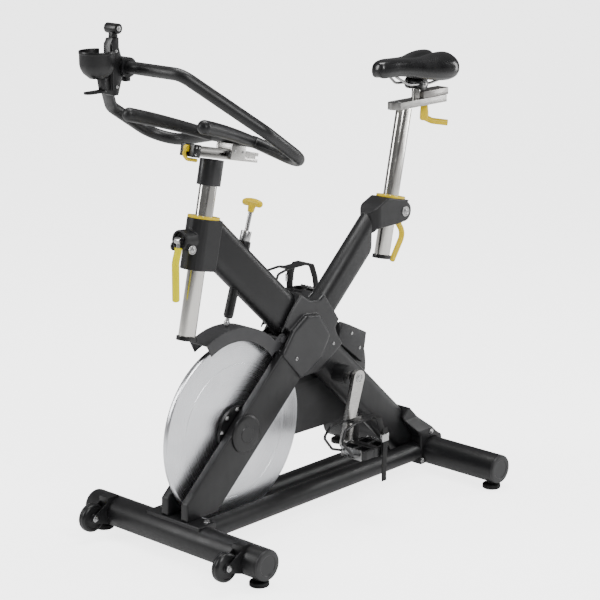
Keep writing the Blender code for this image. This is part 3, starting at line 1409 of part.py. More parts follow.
def saddle_set():
    centre = Vector((STUB_X, 0, TILT_Z))
    pivot = make_pivot("saddle_tilt_axis", centre, BIKE)
    add("saddle", saddle_shape(), "saddle_black", pivot)
    body = cross_rod(centre, 0.0125, -0.031, 0.031, 14)
    pieces = []
    for side in (-1, 1):
        y = side * 0.022
        corners = [
            Vector((0.782, side * 0.012, 1.0695)),
            Vector((0.820, y, 1.056)),
            Vector((0.905, y, 1.0505)),
            Vector((0.936, side * 0.038, 1.0585)),
        ]
        pieces.append(tube_along(smooth_route(corners, [0.04, 0.04], 3), 0.0035, resolution=1))
        pieces.append(cross_rod(centre, 0.016, side * 0.015, side * 0.029, 16))
    unions = [cutter(f"saddle_clamp_{i}", piece) for i, piece in enumerate(pieces)]
    lowered = saddle_shape()
    lowered.transform(Matrix.Translation((0, 0, -2 * GAP)))
    saddle_room = cutter("saddle_room", lowered)
    add("saddle_clamp", body, "plastic_black", pivot, unions=unions, cuts=[saddle_room])


clear_scene()
PARTS = make_collection("indoor_spin_bike")
CUTTERS = make_collection("cutters")
CUTTERS.hide_render = True
CUT = {}
BIKE = make_pivot("bike", Vector((-ORIGIN_X, 0, 0)))
make_cutters()
base()
frame()
drive()
brake()
handlebar_set()
seat_set()
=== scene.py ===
"""Looks for the indoor spin bike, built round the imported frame.

Places are in metres in the design's own coordinates (x from the front stabiliser's centre line,
X rearward, -Y the near side); SHIFT moves them into the frame's coordinates.
"""

import json
import math

import bmesh
import bpy
from mathutils import Matrix, Vector

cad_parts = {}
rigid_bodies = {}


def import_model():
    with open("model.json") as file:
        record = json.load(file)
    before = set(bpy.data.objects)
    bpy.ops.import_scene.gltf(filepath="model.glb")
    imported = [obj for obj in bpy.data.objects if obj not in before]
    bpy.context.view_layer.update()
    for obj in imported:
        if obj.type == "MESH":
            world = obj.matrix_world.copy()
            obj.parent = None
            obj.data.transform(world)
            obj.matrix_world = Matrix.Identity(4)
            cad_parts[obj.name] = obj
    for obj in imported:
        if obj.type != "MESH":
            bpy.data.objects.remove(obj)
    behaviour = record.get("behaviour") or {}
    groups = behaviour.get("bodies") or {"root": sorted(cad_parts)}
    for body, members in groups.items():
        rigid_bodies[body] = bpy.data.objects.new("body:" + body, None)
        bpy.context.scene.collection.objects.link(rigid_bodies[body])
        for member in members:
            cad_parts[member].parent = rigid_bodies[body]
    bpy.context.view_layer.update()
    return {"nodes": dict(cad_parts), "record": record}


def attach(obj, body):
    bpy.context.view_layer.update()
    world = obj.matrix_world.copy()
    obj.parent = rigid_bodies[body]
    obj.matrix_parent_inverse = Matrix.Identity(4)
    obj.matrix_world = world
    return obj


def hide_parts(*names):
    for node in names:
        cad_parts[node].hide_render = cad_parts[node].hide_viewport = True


for old in list(bpy.data.objects):
    bpy.data.objects.remove(old)
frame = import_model()
RECORD = frame["record"]
BODY_OF = {n: body for body, nodes in RECORD["behaviour"]["bodies"].items() for n in nodes}

SHIFT = Matrix.Translation((-0.388, 0.0, 0.0))
ACROSS = Vector((0, 1, 0))
SKY = Vector((0, 0, 1))
SIDES = (("left", -1), ("right", 1))
GAP = 0.0004
SOFT_ANGLE = 35

STABILISER_RADIUS = 0.0384
STABILISER_Z = 0.056
CAP_PLANE = 0.292
REAR_X = 0.889
FOOT_Y = 0.270
BASE_TUBE_Y = 0.041
BASE_TUBE_Z = 0.059
BASE_TUBE_RADIUS = 0.0257
PLATE_TOP = 0.0985
WHEEL = Vector((-0.075, 0.2315, 0.0566))
SLOPE = math.radians(43.0)
LEG_SLOPE = math.radians(42.4)
HUB = Vector((0.444, 0.0, 0.463))
LEG_POINT = Vector((0.3525, 0.0, 0.4085))
LEG_DEPTH = 0.0995
LEG_FACES_Y = (0.022, 0.046)
MAIN_SIZE = (0.102, 0.054)
SEAT_TUBE_SIZE = (0.083, 0.052)
POST_SIZE = (0.046, 0.032)
POST_CAP_SIZE = (0.054, 0.040)
SLEEVE_SIZE = (0.062, 0.046)
COLLAR_SIZE = (0.084, 0.062)
FLYWHEEL = Vector((0.187, 0.0, 0.2736))
CRANK = Vector((0.547, 0.0, 0.345))
CRANK_LENGTH = 0.170
CRANK_OUTER_Y = 0.100
GUARD_REAR = Vector((0.606, 0.0, 0.313))
GUARD_CIRCLES = ((FLYWHEEL, 0.087), (CRANK, 0.110), (GUARD_REAR, 0.135))
GUARD_RIB_INSET = 0.015
CRANK_LEAN = math.atan2(0.282, 0.959)
PEDAL_Y = 0.159
POST_LEAN = math.radians(12.4)
FRONT_FOOT = Vector((0.036, 0.0, 0.537))
SEAT_FOOT = Vector((0.746, 0.0, 0.609))
HEAD_PINS = ((0.804, 0.7270, 1.0), (0.030, 0.760, 0.8))
ROD_TOP = Vector((0.262, 0.0, 0.826))
ROD_END = Vector((0.1690, 0.0, 0.5409))
BAR_RADIUS = 0.0147
BAR_FRONT = Vector((-0.0949, 0.1337, 1.1942))
BAR_KINK = Vector((0.0443, 0.2554, 1.0634))
BAR_TIP = Vector((0.2091, 0.2476, 0.9552))
BAR_INNER = Vector((0.1995, 0.0698, 0.9971))
BAR_BENDS = (0.0414, 0.0426, 0.0786, 0.0279)
PADDLE_END = Vector((-0.018, 0.1245, 1.067))
HOLDER = Vector((-0.173, 0.055, 1.172))
CONSOLE_Y = 0.055
TILT = Vector((0.878, 0.0, 1.052))

UP = Vector((math.sin(POST_LEAN), 0, math.cos(POST_LEAN)))
ALONG = Vector((math.cos(POST_LEAN), 0, -math.sin(POST_LEAN)))
MAIN = Vector((math.cos(SLOPE), 0, -math.sin(SLOPE)))
SEAT = Vector((math.cos(SLOPE), 0, math.sin(SLOPE)))
LEG = Vector((math.cos(LEG_SLOPE), 0, math.sin(LEG_SLOPE)))
ROD_WAY = (ROD_TOP - ROD_END).normalized()


# ---- materials


class Nodes:
    """Short calls for one material's node tree."""

    def __init__(self, name):
        self.material = bpy.data.materials.new(name)
        self.material.use_nodes = True
        self.tree = self.material.node_tree
        self.shader = self.tree.nodes["Principled BSDF"]
        self.place = self.new("ShaderNodeTexCoord").outputs["Object"]

    def new(self, kind, **settings):
        node = self.tree.nodes.new(kind)
        for key, value in settings.items():
            setattr(node, key, value)
        return node

    def link(self, out, socket):
        self.tree.links.new(out, socket)

    def stretched(self, scale):
        node = self.new("ShaderNodeVectorMath", operation="MULTIPLY")
        self.link(self.place, node.inputs[0])
        node.inputs[1].default_value = scale
        return node.outputs[0]

    def noise(self, scale, detail=3.0, place=None, rough=0.55):
        node = self.new("ShaderNodeTexNoise")
        node.inputs["Scale"].default_value = scale
        node.inputs["Detail"].default_value = detail
        node.inputs["Roughness"].default_value = rough
        self.link(place or self.place, node.inputs["Vector"])
        return node.outputs["Fac"]

    def spread(self, value, low, high, start=0.35, end=0.65):
        node = self.new("ShaderNodeMapRange")
        self.link(value, node.inputs["Value"])
        node.inputs["From Min"].default_value = start
        node.inputs["From Max"].default_value = end
        node.inputs["To Min"].default_value = low
        node.inputs["To Max"].default_value = high
        return node.outputs["Result"]

    def math(self, kind, one, two):
        node = self.new("ShaderNodeMath", operation=kind)
        for socket, value in zip(node.inputs, (one, two)):
            if isinstance(value, (int, float)):
                socket.default_value = value
            else:
                self.link(value, socket)
        return node.outputs[0]

    def mix(self, factor, one, two):
        node = self.new("ShaderNodeMix", data_type="RGBA")
        self.link(factor, node.inputs["Factor"])
        for socket, value in ((node.inputs[6], one), (node.inputs[7], two)):
            if isinstance(value, tuple):
                socket.default_value = (*value, 1.0)
            else:
                self.link(value, socket)
        return node.outputs[2]

    def edges(self, radius):
        """1 on outer edges, where a coating wears, and 0 on flat faces."""
        bevel = self.new("ShaderNodeBevel", samples=6)
        bevel.inputs["Radius"].default_value = radius
        geometry = self.new("ShaderNodeNewGeometry")
        dot = self.new("ShaderNodeVectorMath", operation="DOT_PRODUCT")
        self.link(bevel.outputs[0], dot.inputs[0])
        self.link(geometry.outputs["Normal"], dot.inputs[1])
        return self.spread(dot.outputs["Value"], 1.0, 0.0, 0.80, 0.985)

    def bump(self, height, strength, distance, before=None):
        node = self.new("ShaderNodeBump")
        node.inputs["Strength"].default_value = strength
        node.inputs["Distance"].default_value = distance
        self.link(height, node.inputs["Height"])
        if before:
            self.link(before, node.inputs["Normal"])
        return node.outputs["Normal"]


def coated(name, color, rough, vary=0.18, grain=1500.0, bump=0.10, worn=0.35, shine=0.5):
    """Powder coat, paint or moulded plastic: fine peel, soft patches, dust and rubbed edges."""
    n = Nodes(name)
    darker = tuple(c * (1 - vary) for c in color)
    lighter = tuple(min(1.0, c * (1 + vary)) for c in color)
    patches = n.noise(14.0, 5.0)
    body = n.mix(n.spread(patches, 0.0, 1.0, 0.3, 0.7), darker, lighter)
    rubbed = tuple(min(1.0, c * 1.5 + 0.018) for c in color)
    edge = n.math("MULTIPLY", n.edges(0.0011), n.spread(n.noise(160.0), 0.0, worn, 0.4, 0.7))
    n.link(n.mix(edge, body, rubbed), n.shader.inputs["Base Color"])
    smear = n.noise(46.0, 6.0, n.stretched((1.0, 1.0, 0.45)))
    n.link(n.spread(smear, rough - 0.05, rough + 0.07, 0.3, 0.7), n.shader.inputs["Roughness"])
    peel = n.bump(n.noise(grain, 2.0), bump, 0.0004)
    n.link(n.bump(n.noise(grain * 0.14, 3.0), bump * 0.5, 0.0006, peel), n.shader.inputs["Normal"])
    n.shader.inputs["Specular IOR Level"].default_value = shine
    return n.material


def metal(name, color, rough, brush, strength, aniso=0.0):
    """Bare metal with brush lines along one direction, faint stains and brighter rubbed edges."""
    n = Nodes(name)
    darker = tuple(c * 0.94 for c in color)
    lines = n.noise(1.0, 4.0, n.stretched(brush), 0.7)
    stains = n.noise(18.0, 5.0)
    body = n.mix(n.spread(stains, 0.0, 1.0, 0.35, 0.7), color, darker)
    lined = n.mix(n.spread(lines, 0.0, 0.35, 0.3, 0.7), body, tuple(c * 0.72 for c in color))
    edge = n.math("MULTIPLY", n.edges(0.0008), 0.5)
    n.link(n.mix(edge, lined, tuple(min(1.0, c * 1.25) for c in color)), n.shader.inputs["Base Color"])
    marks = n.math("ADD", n.spread(lines, -0.04, 0.07), n.spread(stains, rough - 0.02, rough + 0.05))
    n.link(marks, n.shader.inputs["Roughness"])
    n.link(n.bump(lines, strength, 0.0003), n.shader.inputs["Normal"])
    n.shader.inputs["Metallic"].default_value = 1.0
    n.shader.inputs["Anisotropic"].default_value = aniso
    return n.material


def ringed(name, color, rough, centre):
    """Metal faced on a lathe: fine rings about an axis along Y."""
    n = Nodes(name)
    move = n.new("ShaderNodeVectorMath", operation="SUBTRACT")
    n.link(n.place, move.inputs[0])
    move.inputs[1].default_value = centre
    flat = n.new("ShaderNodeVectorMath", operation="MULTIPLY")
    n.link(move.outputs[0], flat.inputs[0])
    flat.inputs[1].default_value = (1.0, 0.0, 1.0)
    length = n.new("ShaderNodeVectorMath", operation="LENGTH")
    n.link(flat.outputs[0], length.inputs[0])
    rings = n.new("ShaderNodeTexNoise", noise_dimensions="1D")
    rings.inputs["Scale"].default_value = 900.0
    rings.inputs["Detail"].default_value = 4.0
    n.link(length.outputs["Value"], rings.inputs["W"])
    cloud = n.noise(9.0, 4.0)
    tint = n.mix(n.spread(cloud, 0.0, 1.0), color, tuple(c * 0.86 for c in color))
    lined = n.mix(n.spread(rings.outputs["Fac"], 0.0, 0.45), tint, tuple(c * 0.7 for c in color))
    n.link(lined, n.shader.inputs["Base Color"])
    n.link(n.spread(rings.outputs["Fac"], rough - 0.05, rough + 0.08), n.shader.inputs["Roughness"])
    n.link(n.bump(rings.outputs["Fac"], 0.05, 0.0002), n.shader.inputs["Normal"])
    n.shader.inputs["Metallic"].default_value = 1.0
    n.shader.inputs["Anisotropic"].default_value = 0.4
    return n.material


def vinyl(name):
    """The saddle's cover: black, glossy, with a fine leather grain."""
    n = Nodes(name)
    cells = n.new("ShaderNodeTexVoronoi", feature="DISTANCE_TO_EDGE")
    cells.inputs["Scale"].default_value = 900.0
    n.link(n.place, cells.inputs["Vector"])
    creases = n.spread(cells.outputs["Distance"], 0.0, 1.0, 0.0, 0.25)
    shade = n.mix(n.spread(n.noise(20.0, 4.0), 0.0, 1.0), (0.0040, 0.0040, 0.0045), (0.0070, 0.0070, 0.0078))
    n.link(shade, n.shader.inputs["Base Color"])
    n.link(n.spread(n.noise(40.0, 3.0), 0.20, 0.30), n.shader.inputs["Roughness"])
    fine = n.bump(creases, 0.012, 0.0002)
    n.link(n.bump(n.noise(90.0, 2.0), 0.02, 0.0006, fine), n.shader.inputs["Normal"])
    n.shader.inputs["Coat Weight"].default_value = 0.25
    n.shader.inputs["Coat Roughness"].default_value = 0.2
    return n.material


LOOKS = {
    "frame_black": coated("satin_frame", (0.0085, 0.0085, 0.0092), 0.40, shine=0.42),
    "cover_black": coated("moulded_cover", (0.0110, 0.0110, 0.0120), 0.34, grain=2100.0, bump=0.08),
    "trim_grey": coated("grey_trim", (0.024, 0.024, 0.025), 0.42, shine=0.4),
    "arm_grey": coated("grey_arm", (0.038, 0.038, 0.040), 0.40, shine=0.4),
    "plastic_black": coated("black_plastic", (0.0055, 0.0055, 0.0060), 0.33, grain=2400.0, shine=0.45),
    "rubber_black": coated("rubber", (0.0075, 0.0075, 0.0078), 0.65, grain=1200.0, bump=0.2, shine=0.35),
    "grip_black": coated("dipped_grip", (0.0075, 0.0075, 0.0082), 0.40, grain=1700.0, bump=0.22, shine=0.45),
    "chrome_post": metal("chromed_post", (0.70, 0.685, 0.65), 0.15, (260.0, 260.0, 3.0), 0.04, aniso=0.3),
    "steel": metal("brushed_steel", (0.30, 0.29, 0.28), 0.32, (14.0, 500.0, 500.0), 0.08),
    "polished_steel": ringed("faced_steel", (0.88, 0.89, 0.92), 0.30, SHIFT @ FLYWHEEL),
    "aluminium": metal("milled_aluminium", (0.56, 0.55, 0.53), 0.26, (16.0, 600.0, 600.0), 0.06),
    "yellow": coated("mustard_enamel", (0.74, 0.53, 0.012), 0.36, vary=0.07, worn=0.15, shine=0.3),
    "lemon": coated("lemon_grip", (0.80, 0.70, 0.0), 0.45, vary=0.04, worn=0.05, shine=0.15),
    "saddle_black": vinyl("saddle_vinyl"),
    "felt": coated("brake_felt", (0.05, 0.048, 0.045), 0.95, grain=900.0, bump=0.6, worn=0.0, shine=0.1),
    "dark_aluminium": metal("satin_aluminium", (0.34, 0.335, 0.325), 0.30, (16.0, 600.0, 600.0), 0.07),
    "bolt": metal("zinc_bolt", (0.50, 0.50, 0.50), 0.26, (200.0, 200.0, 200.0), 0.04),
}
SLOT_OF = {"bolt": "steel", "dark_aluminium": "aluminium"}


# ---- shapes


def frame_matrix(place, x_axis, y_axis, z_axis):
    """A place whose local axes point along the three given ones."""
    return Matrix.Translation(place) @ Matrix((x_axis, y_axis, z_axis)).transposed().to_4x4()


def side_plane(y=0.0):
    """The plane of the bike's side view at this y."""
    return frame_matrix(Vector((0, y, 0)), Vector((1, 0, 0)), SKY, Vector((0, -1, 0)))


def bar_matrix(place, direction):
    return frame_matrix(place, ACROSS.cross(direction), ACROSS, direction)


def baked(helper):
    """The shape that a helper object makes. The helper is removed."""
    bpy.context.view_layer.update()
    graph = bpy.context.evaluated_depsgraph_get()
    mesh = bpy.data.meshes.new_from_object(helper.evaluated_get(graph))
    shape = bmesh.new()
    shape.from_mesh(mesh)
    bmesh.ops.remove_doubles(shape, verts=shape.verts, dist=1e-6)
    bpy.data.objects.remove(helper)
    bpy.data.meshes.remove(mesh)
    return shape


def helper_of(data):
    helper = bpy.data.objects.new("helper", data)
    bpy.context.scene.collection.objects.link(helper)
    return helper


def prism(outlines, length, place):
    """A filled outline, with any holes after it, drawn out both ways along local Z."""
    curve = bpy.data.curves.new("outline", "CURVE")
    curve.dimensions = "2D"
    curve.fill_mode = "BOTH"
    curve.extrude = length / 2
    for outline in outlines:
        spline = curve.splines.new("POLY")
        spline.points.add(len(outline) - 1)
        for point, (x, y) in zip(spline.points, outline):
            point.co = (x, y, 0, 1)
        spline.use_cyclic_u = True
    shape = baked(helper_of(curve))
    bmesh.ops.recalc_face_normals(shape, faces=shape.faces)
    shape.transform(place)
    return shape


def side_prism(outline, y_from, y_to, holes=()):
    return prism([outline, *holes], abs(y_to - y_from), side_plane((y_from + y_to) / 2))


def box(size, place=Matrix.Identity(4)):
    shape = bmesh.new()
    bmesh.ops.create_cube(shape, size=1.0, matrix=place @ Matrix.Diagonal((*size, 1.0)))
    return shape


def box_between(low, high):
    low, high = Vector(low), Vector(high)
    return box(high - low, Matrix.Translation((low + high) / 2))


def rod(start, end, radius, segments=48, end_radius=None):
    start, end = Vector(start), Vector(end)
    turn = (end - start).to_track_quat("Z", "Y").to_matrix().to_4x4()
    shape = bmesh.new()
    bmesh.ops.create_cone(
        shape,
        cap_ends=True,
        segments=segments,
        radius1=radius,
        radius2=radius if end_radius is None else end_radius,
        depth=(end - start).length,
        matrix=Matrix.Translation((start + end) / 2) @ turn,
    )
    return shape


def cross_rod(centre, radius, y_from, y_to, segments=48):
    return rod((centre[0], y_from, centre[2]), (centre[0], y_to, centre[2]), radius, segments)


def turned(profile, place, steps=72):
    """A profile of (radius, height) turned about local Z."""
    shape = bmesh.new()
    points = [shape.verts.new((radius, 0, height)) for radius, height in profile]
    for one, two in zip(points, points[1:]):
        shape.edges.new((one, two))
    mesh = bpy.data.meshes.new("profile")
    shape.to_mesh(mesh)
    shape.free()
    helper = helper_of(mesh)
    screw = helper.modifiers.new("turn", "SCREW")
    screw.steps = steps
    screw.render_steps = steps
    screw.use_merge_vertices = True
    screw.merge_threshold = 0.00005
    made = baked(helper)
    bmesh.ops.recalc_face_normals(made, faces=made.faces)
    made.transform(place)
    return made


def across_matrix(centre, side=1):
    return Matrix.Translation(centre) @ Matrix.Rotation(-side * math.pi / 2, 4, "X")


def aimed(place, way):
    return Matrix.Translation(place) @ way.to_track_quat("Z", "Y").to_matrix().to_4x4()


def tube_along(points, radius, cyclic=False, resolution=8, scales=None):
    curve = bpy.data.curves.new("route", "CURVE")
    curve.dimensions = "3D"
    curve.bevel_depth = radius
    curve.bevel_resolution = resolution
    curve.use_fill_caps = True
    spline = curve.splines.new("POLY")
    spline.points.add(len(points) - 1)
    for index, (point, place) in enumerate(zip(spline.points, points)):
        point.co = (*place, 1)
        point.radius = scales[index] if scales else 1.0
    spline.use_cyclic_u = cyclic
    shape = baked(helper_of(curve))
    bmesh.ops.recalc_face_normals(shape, faces=shape.faces)
    return shape


def joined(*shapes):
    whole = bmesh.new()
    for shape in shapes:
        mesh = bpy.data.meshes.new("joining")
        shape.to_mesh(mesh)
        whole.from_mesh(mesh)
        bpy.data.meshes.remove(mesh)
        shape.free()
    return whole


def sliced(shape, place, normal):
    """Cuts away what is beyond a plane and closes the hole."""
    everything = shape.verts[:] + shape.edges[:] + shape.faces[:]
    cut = bmesh.ops.bisect_plane(
        shape, geom=everything, plane_co=place, plane_no=normal, clear_outer=True
    )
    rim = [e for e in cut["geom_cut"] if isinstance(e, bmesh.types.BMEdge)]
    bmesh.ops.contextual_create(shape, geom=rim)
    bmesh.ops.recalc_face_normals(shape, faces=shape.faces)
    return shape


def arc(centre, radius, start, end, steps):
    turns = [start + (end - start) * step / steps for step in range(steps + 1)]
    return [(centre[0] + radius * math.cos(t), centre[1] + radius * math.sin(t)) for t in turns]


def circle(radius, steps=64, centre=(0, 0)):
    return arc(centre, radius, 0, math.tau, steps)[:-1]


def stadium(length, width, steps=20):
    reach = (length - width) / 2
    right = arc((reach, 0), width / 2, -math.pi / 2, math.pi / 2, steps)
    return right + arc((-reach, 0), width / 2, math.pi / 2, 3 * math.pi / 2, steps)


def two_circle_outline(one, one_radius, two, two_radius, steps=32):
    offset = Vector((two[0] - one[0], two[2] - one[2]))
    heading = math.atan2(offset.y, offset.x)
    spread = math.acos((one_radius - two_radius) / offset.length)
    first = arc((one[0], one[2]), one_radius, heading + spread, heading + math.tau - spread, steps)
    return first + arc((two[0], two[2]), two_radius, heading - spread, heading + spread, steps)


def smooth_route(corners, radii, steps=10):
    """A path through corners, each rounded with its own radius."""
    path = [corners[0]]
    for before, corner, after, radius in zip(corners, corners[1:], corners[2:], radii):
        one, two = (before - corner).normalized(), (after - corner).normalized()
        half = math.acos(max(-1, min(1, one.dot(two)))) / 2
        reach = radius / math.tan(half)
        centre = corner + (one + two).normalized() * (radius / math.sin(half))
        first, last = corner + one * reach - centre, corner + two * reach - centre
        turn = first.angle(last)
        for step in range(steps + 1):
            t = step / steps
            blend = first * math.sin((1 - t) * turn) + last * math.sin(t * turn)
            path.append(centre + blend / math.sin(turn))
    path.append(corners[-1])
    return path


def post_point(foot, z):
    return foot + UP * ((z - foot.z) / UP.z)


def rail_point(x, lift=0.0):
    """A point on the handlebar rail's centre line, or above it."""
    return Vector((0.051, 0, 0.990)) + ALONG * ((x - 0.051) / ALONG.x) + UP * lift


def hex_bolt(place, way, radius=0.0055, height=0.004):
    """A hex head on its washer."""
    washer = [(0, 0), (radius * 1.35, 0), (radius * 1.35, 0.0008), (radius * 1.25, 0.0012), (0, 0.0012)]
    head = rod((0, 0, 0.0012), (0, 0, height), radius, 6, radius * 0.94)
    top = height + 0.0006
    dome = [(0, height), (radius * 0.6, height), (radius * 0.55, top), (0, top)]
    socket = turned(dome, Matrix.Identity(4), 18)
    whole = joined(turned(washer, Matrix.Identity(4), 28), head, socket)
    whole.transform(aimed(place, way))
    return whole


def button(place, way, radius, height):
    """A domed head with a hexagonal recess."""
    profile = [(radius * 0.42, height * 0.45), (radius * 0.42, height), (radius * 0.7, height * 0.92)]
    profile += [(radius * 0.93, height * 0.6), (radius, height * 0.2), (radius, 0)]
    profile += [(0, 0), (0, height * 0.45)]
    whole = turned(profile + profile[:1], Matrix.Identity(4), 36)
    whole.transform(aimed(place, way))
    return whole


# ---- pieces


def apply_modifiers(made):
    bpy.context.view_layer.update()
    graph = bpy.context.evaluated_depsgraph_get()
    mesh = bpy.data.meshes.new_from_object(made.evaluated_get(graph))
    made.modifiers.clear()
    made.data = mesh


def dress(made, look, body, nodes, sharp):
    """Material, smooth shading, the body that it moves with and the nodes that it stands for."""
    mesh = made.data
    mesh.materials.clear()
    mesh.materials.append(LOOKS[look])
    mesh.shade_smooth()
    mesh.set_sharp_from_angle(angle=math.radians(sharp))
    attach(made, body)
    if nodes:
        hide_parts(*nodes)
    return made


def piece(name, shape, look, body, nodes=(), bevel=0.0, segments=3, voxel=0.0, smooth=0,
          sharp=SOFT_ANGLE, shifted=False):
    """Makes one piece. With a voxel size it is remeshed into one cast skin."""
    if not shifted:
        shape.transform(SHIFT)
    mesh = bpy.data.meshes.new(name)
    shape.to_mesh(mesh)
    shape.free()
    made = bpy.data.objects.new(name, mesh)
    bpy.context.scene.collection.objects.link(made)
    if bevel:
        modifier = made.modifiers.new("edges", "BEVEL")
        modifier.width = bevel
        modifier.segments = segments
        modifier.limit_method = "ANGLE"
        modifier.angle_limit = math.radians(SOFT_ANGLE)
    if voxel:
        modifier = made.modifiers.new("cast", "REMESH")
        modifier.mode = "VOXEL"
        modifier.voxel_size = voxel
        modifier.use_smooth_shade = True
    if smooth:
        modifier = made.modifiers.new("soft", "SMOOTH")
        modifier.factor = 0.5
        modifier.iterations = smooth
    if bevel or voxel or smooth:
        apply_modifiers(made)
    return dress(made, look, body, nodes, sharp if not voxel else 60)


def cast(node, look, voxel=0.0014, smooth=6, extra=()):
    """A CAD node's shape with soft cast edges."""
    shape = bmesh.new()
    shape.from_mesh(frame["nodes"][node].data)
    bmesh.ops.remove_doubles(shape, verts=shape.verts, dist=1e-6)
    for add_on in extra:
        add_on.transform(SHIFT)
    whole = joined(shape, *extra)
    return piece(f"{node}_skin", whole, look, BODY_OF[node], [node], voxel=voxel, smooth=smooth, shifted=True)


def make_base():
    for name, x in (("front", 0.0), ("rear", REAR_X)):
        centre = (x, 0, STABILISER_Z)
        tube = [cross_rod(centre, STABILISER_RADIUS, -CAP_PLANE + GAP, CAP_PLANE - GAP, 96)]
        if name == "front":
            tube += wheel_forks()
        piece(f"{name}_stabiliser_tube", joined(*tube), "frame_black", "frame",
              [f"{name}_stabiliser"], bevel=0.0009)
        for side_name, side in SIDES:
            r = STABILISER_RADIUS
            profile = [(0, 0.0060), (0.024, 0.0062), (0.0255, 0.0074), (r - 0.0045, 0.0078)]
            profile += [(r - 0.0018, 0.0068), (r - 0.0004, 0.0046), (r, 0.002), (r - 0.0001, 0.0004)]
            profile += [(r - 0.0014, 0.0004), (r - 0.0014, -0.002), (0, -0.002)]
            place = across_matrix(Vector((x, side * CAP_PLANE, STABILISER_Z)), side)
            piece(f"end_cap_{name}_{side_name}", turned(profile, place, 96), "trim_grey", "frame",
                  [f"stabiliser_cap_{name}_{side_name}"])
            leveller(name, side_name, Vector((x, side * FOOT_Y, 0)))
    for side_name, side in SIDES:
        y = side * BASE_TUBE_Y
        tube = rod((0.030, y, BASE_TUBE_Z), (0.8437, y, BASE_TUBE_Z), BASE_TUBE_RADIUS, 72)
        piece(f"base_rail_{side_name}", tube, "frame_black", "frame", [f"base_tube_{side_name}"])
        wheel(side_name, side)
    plate = box_between((-0.020, -0.092, 0.0815), (0.036, 0.092, PLATE_TOP))
    piece("plate_skin", plate, "frame_black", "frame", ["base_plate"], bevel=0.003, segments=4)
    bolts = []
    for y in (-0.074, 0.074):
        bolts.append(hex_bolt(Vector((0.022, y, PLATE_TOP)), SKY, 0.0062, 0.0052))
    for side in (-1, 1):
        for x, z in ((0.8845, 0.110), (0.8495, 0.036)):
            bolts.append(hex_bolt(Vector((x, side * 0.0662, z)), Vector((0, side, 0)), 0.0058, 0.0036))
    piece("frame_bolts", joined(*bolts), "bolt", "frame", bevel=0.0003, segments=2)
    cast("rear_bracket", "frame_black", 0.0016, 8)


def wheel_forks():
    pieces = []
    for y in (-WHEEL.y, WHEEL.y):
        outline = arc((WHEEL.x, WHEEL.z), 0.0115, math.radians(70), math.radians(250), 24)
        outline += [(-0.030, STABILISER_Z - 0.026), (-0.010, 0.080), (-0.016, 0.0965)]
        for low in (-0.0154, 0.0122):
            pieces.append(side_prism(outline, y + low, y + low + 0.0032))
        pieces.append(box_between((-0.034, y - 0.0158, 0.0715), (0.002, y + 0.0158, 0.0992)))
    return pieces


def wheel(side_name, side):
    centre = Vector((WHEEL.x, side * WHEEL.y, WHEEL.z))
    half = 0.011
    profile = [(0.0050, half), (0.0105, half), (0.0115, half - 0.0015), (0.020, half - 0.0028)]
    profile += [(0.0265, half - 0.0022), (0.0275, half), (0.0315, half), (0.0345, half - 0.0022)]
    profile += [(0.0357, half - 0.0055), (0.0360, 0.0012), (0.0354, 0.0)]
    profile += [(r, -h) for r, h in reversed(profile[:-1])]
    piece(f"wheel_{side_name}", turned(profile + profile[:1], across_matrix(centre), 96),
          "plastic_black", f"{side_name}_wheel", [f"transport_wheel_{side_name}"])
    bolts = []
    for out in (-1, 1):
        bolts.append(hex_bolt(centre + Vector((0, out * 0.0154, 0)), Vector((0, out, 0)), 0.0062, 0.0046))
    bolts.append(cross_rod(centre, 0.004, centre.y - 0.0155, centre.y + 0.0155, 24))
    piece(f"wheel_bolt_{side_name}", joined(*bolts), "bolt", "frame", bevel=0.0003, segments=2)


def leveller(name, side_name, centre):
    profile = [(0, 0.030), (0.006, 0.030), (0.006, 0.0176), (0.0105, 0.0176), (0.0105, 0.0136)]
    profile += [(0.0215, 0.0114), (0.0232, 0.0104), (0.0240, 0.0088), (0.0240, 0.0058), (0.0234, 0.0052)]
    profile += [(0.0240, 0.0046), (0.0240, 0.0012), (0.0230, 0.0), (0, 0.0)]
    piece(f"level_foot_{name}_{side_name}", turned(profile, Matrix.Translation(centre), 72),
          "rubber_black", f"{name}_{side_name}_foot", [f"foot_{name}_{side_name}"])


def solid_bar(start, end, depth, width):
    direction = (end - start).normalized()
    return prism([stadium(depth, width)], (end - start).length, bar_matrix((start + end) / 2, direction))


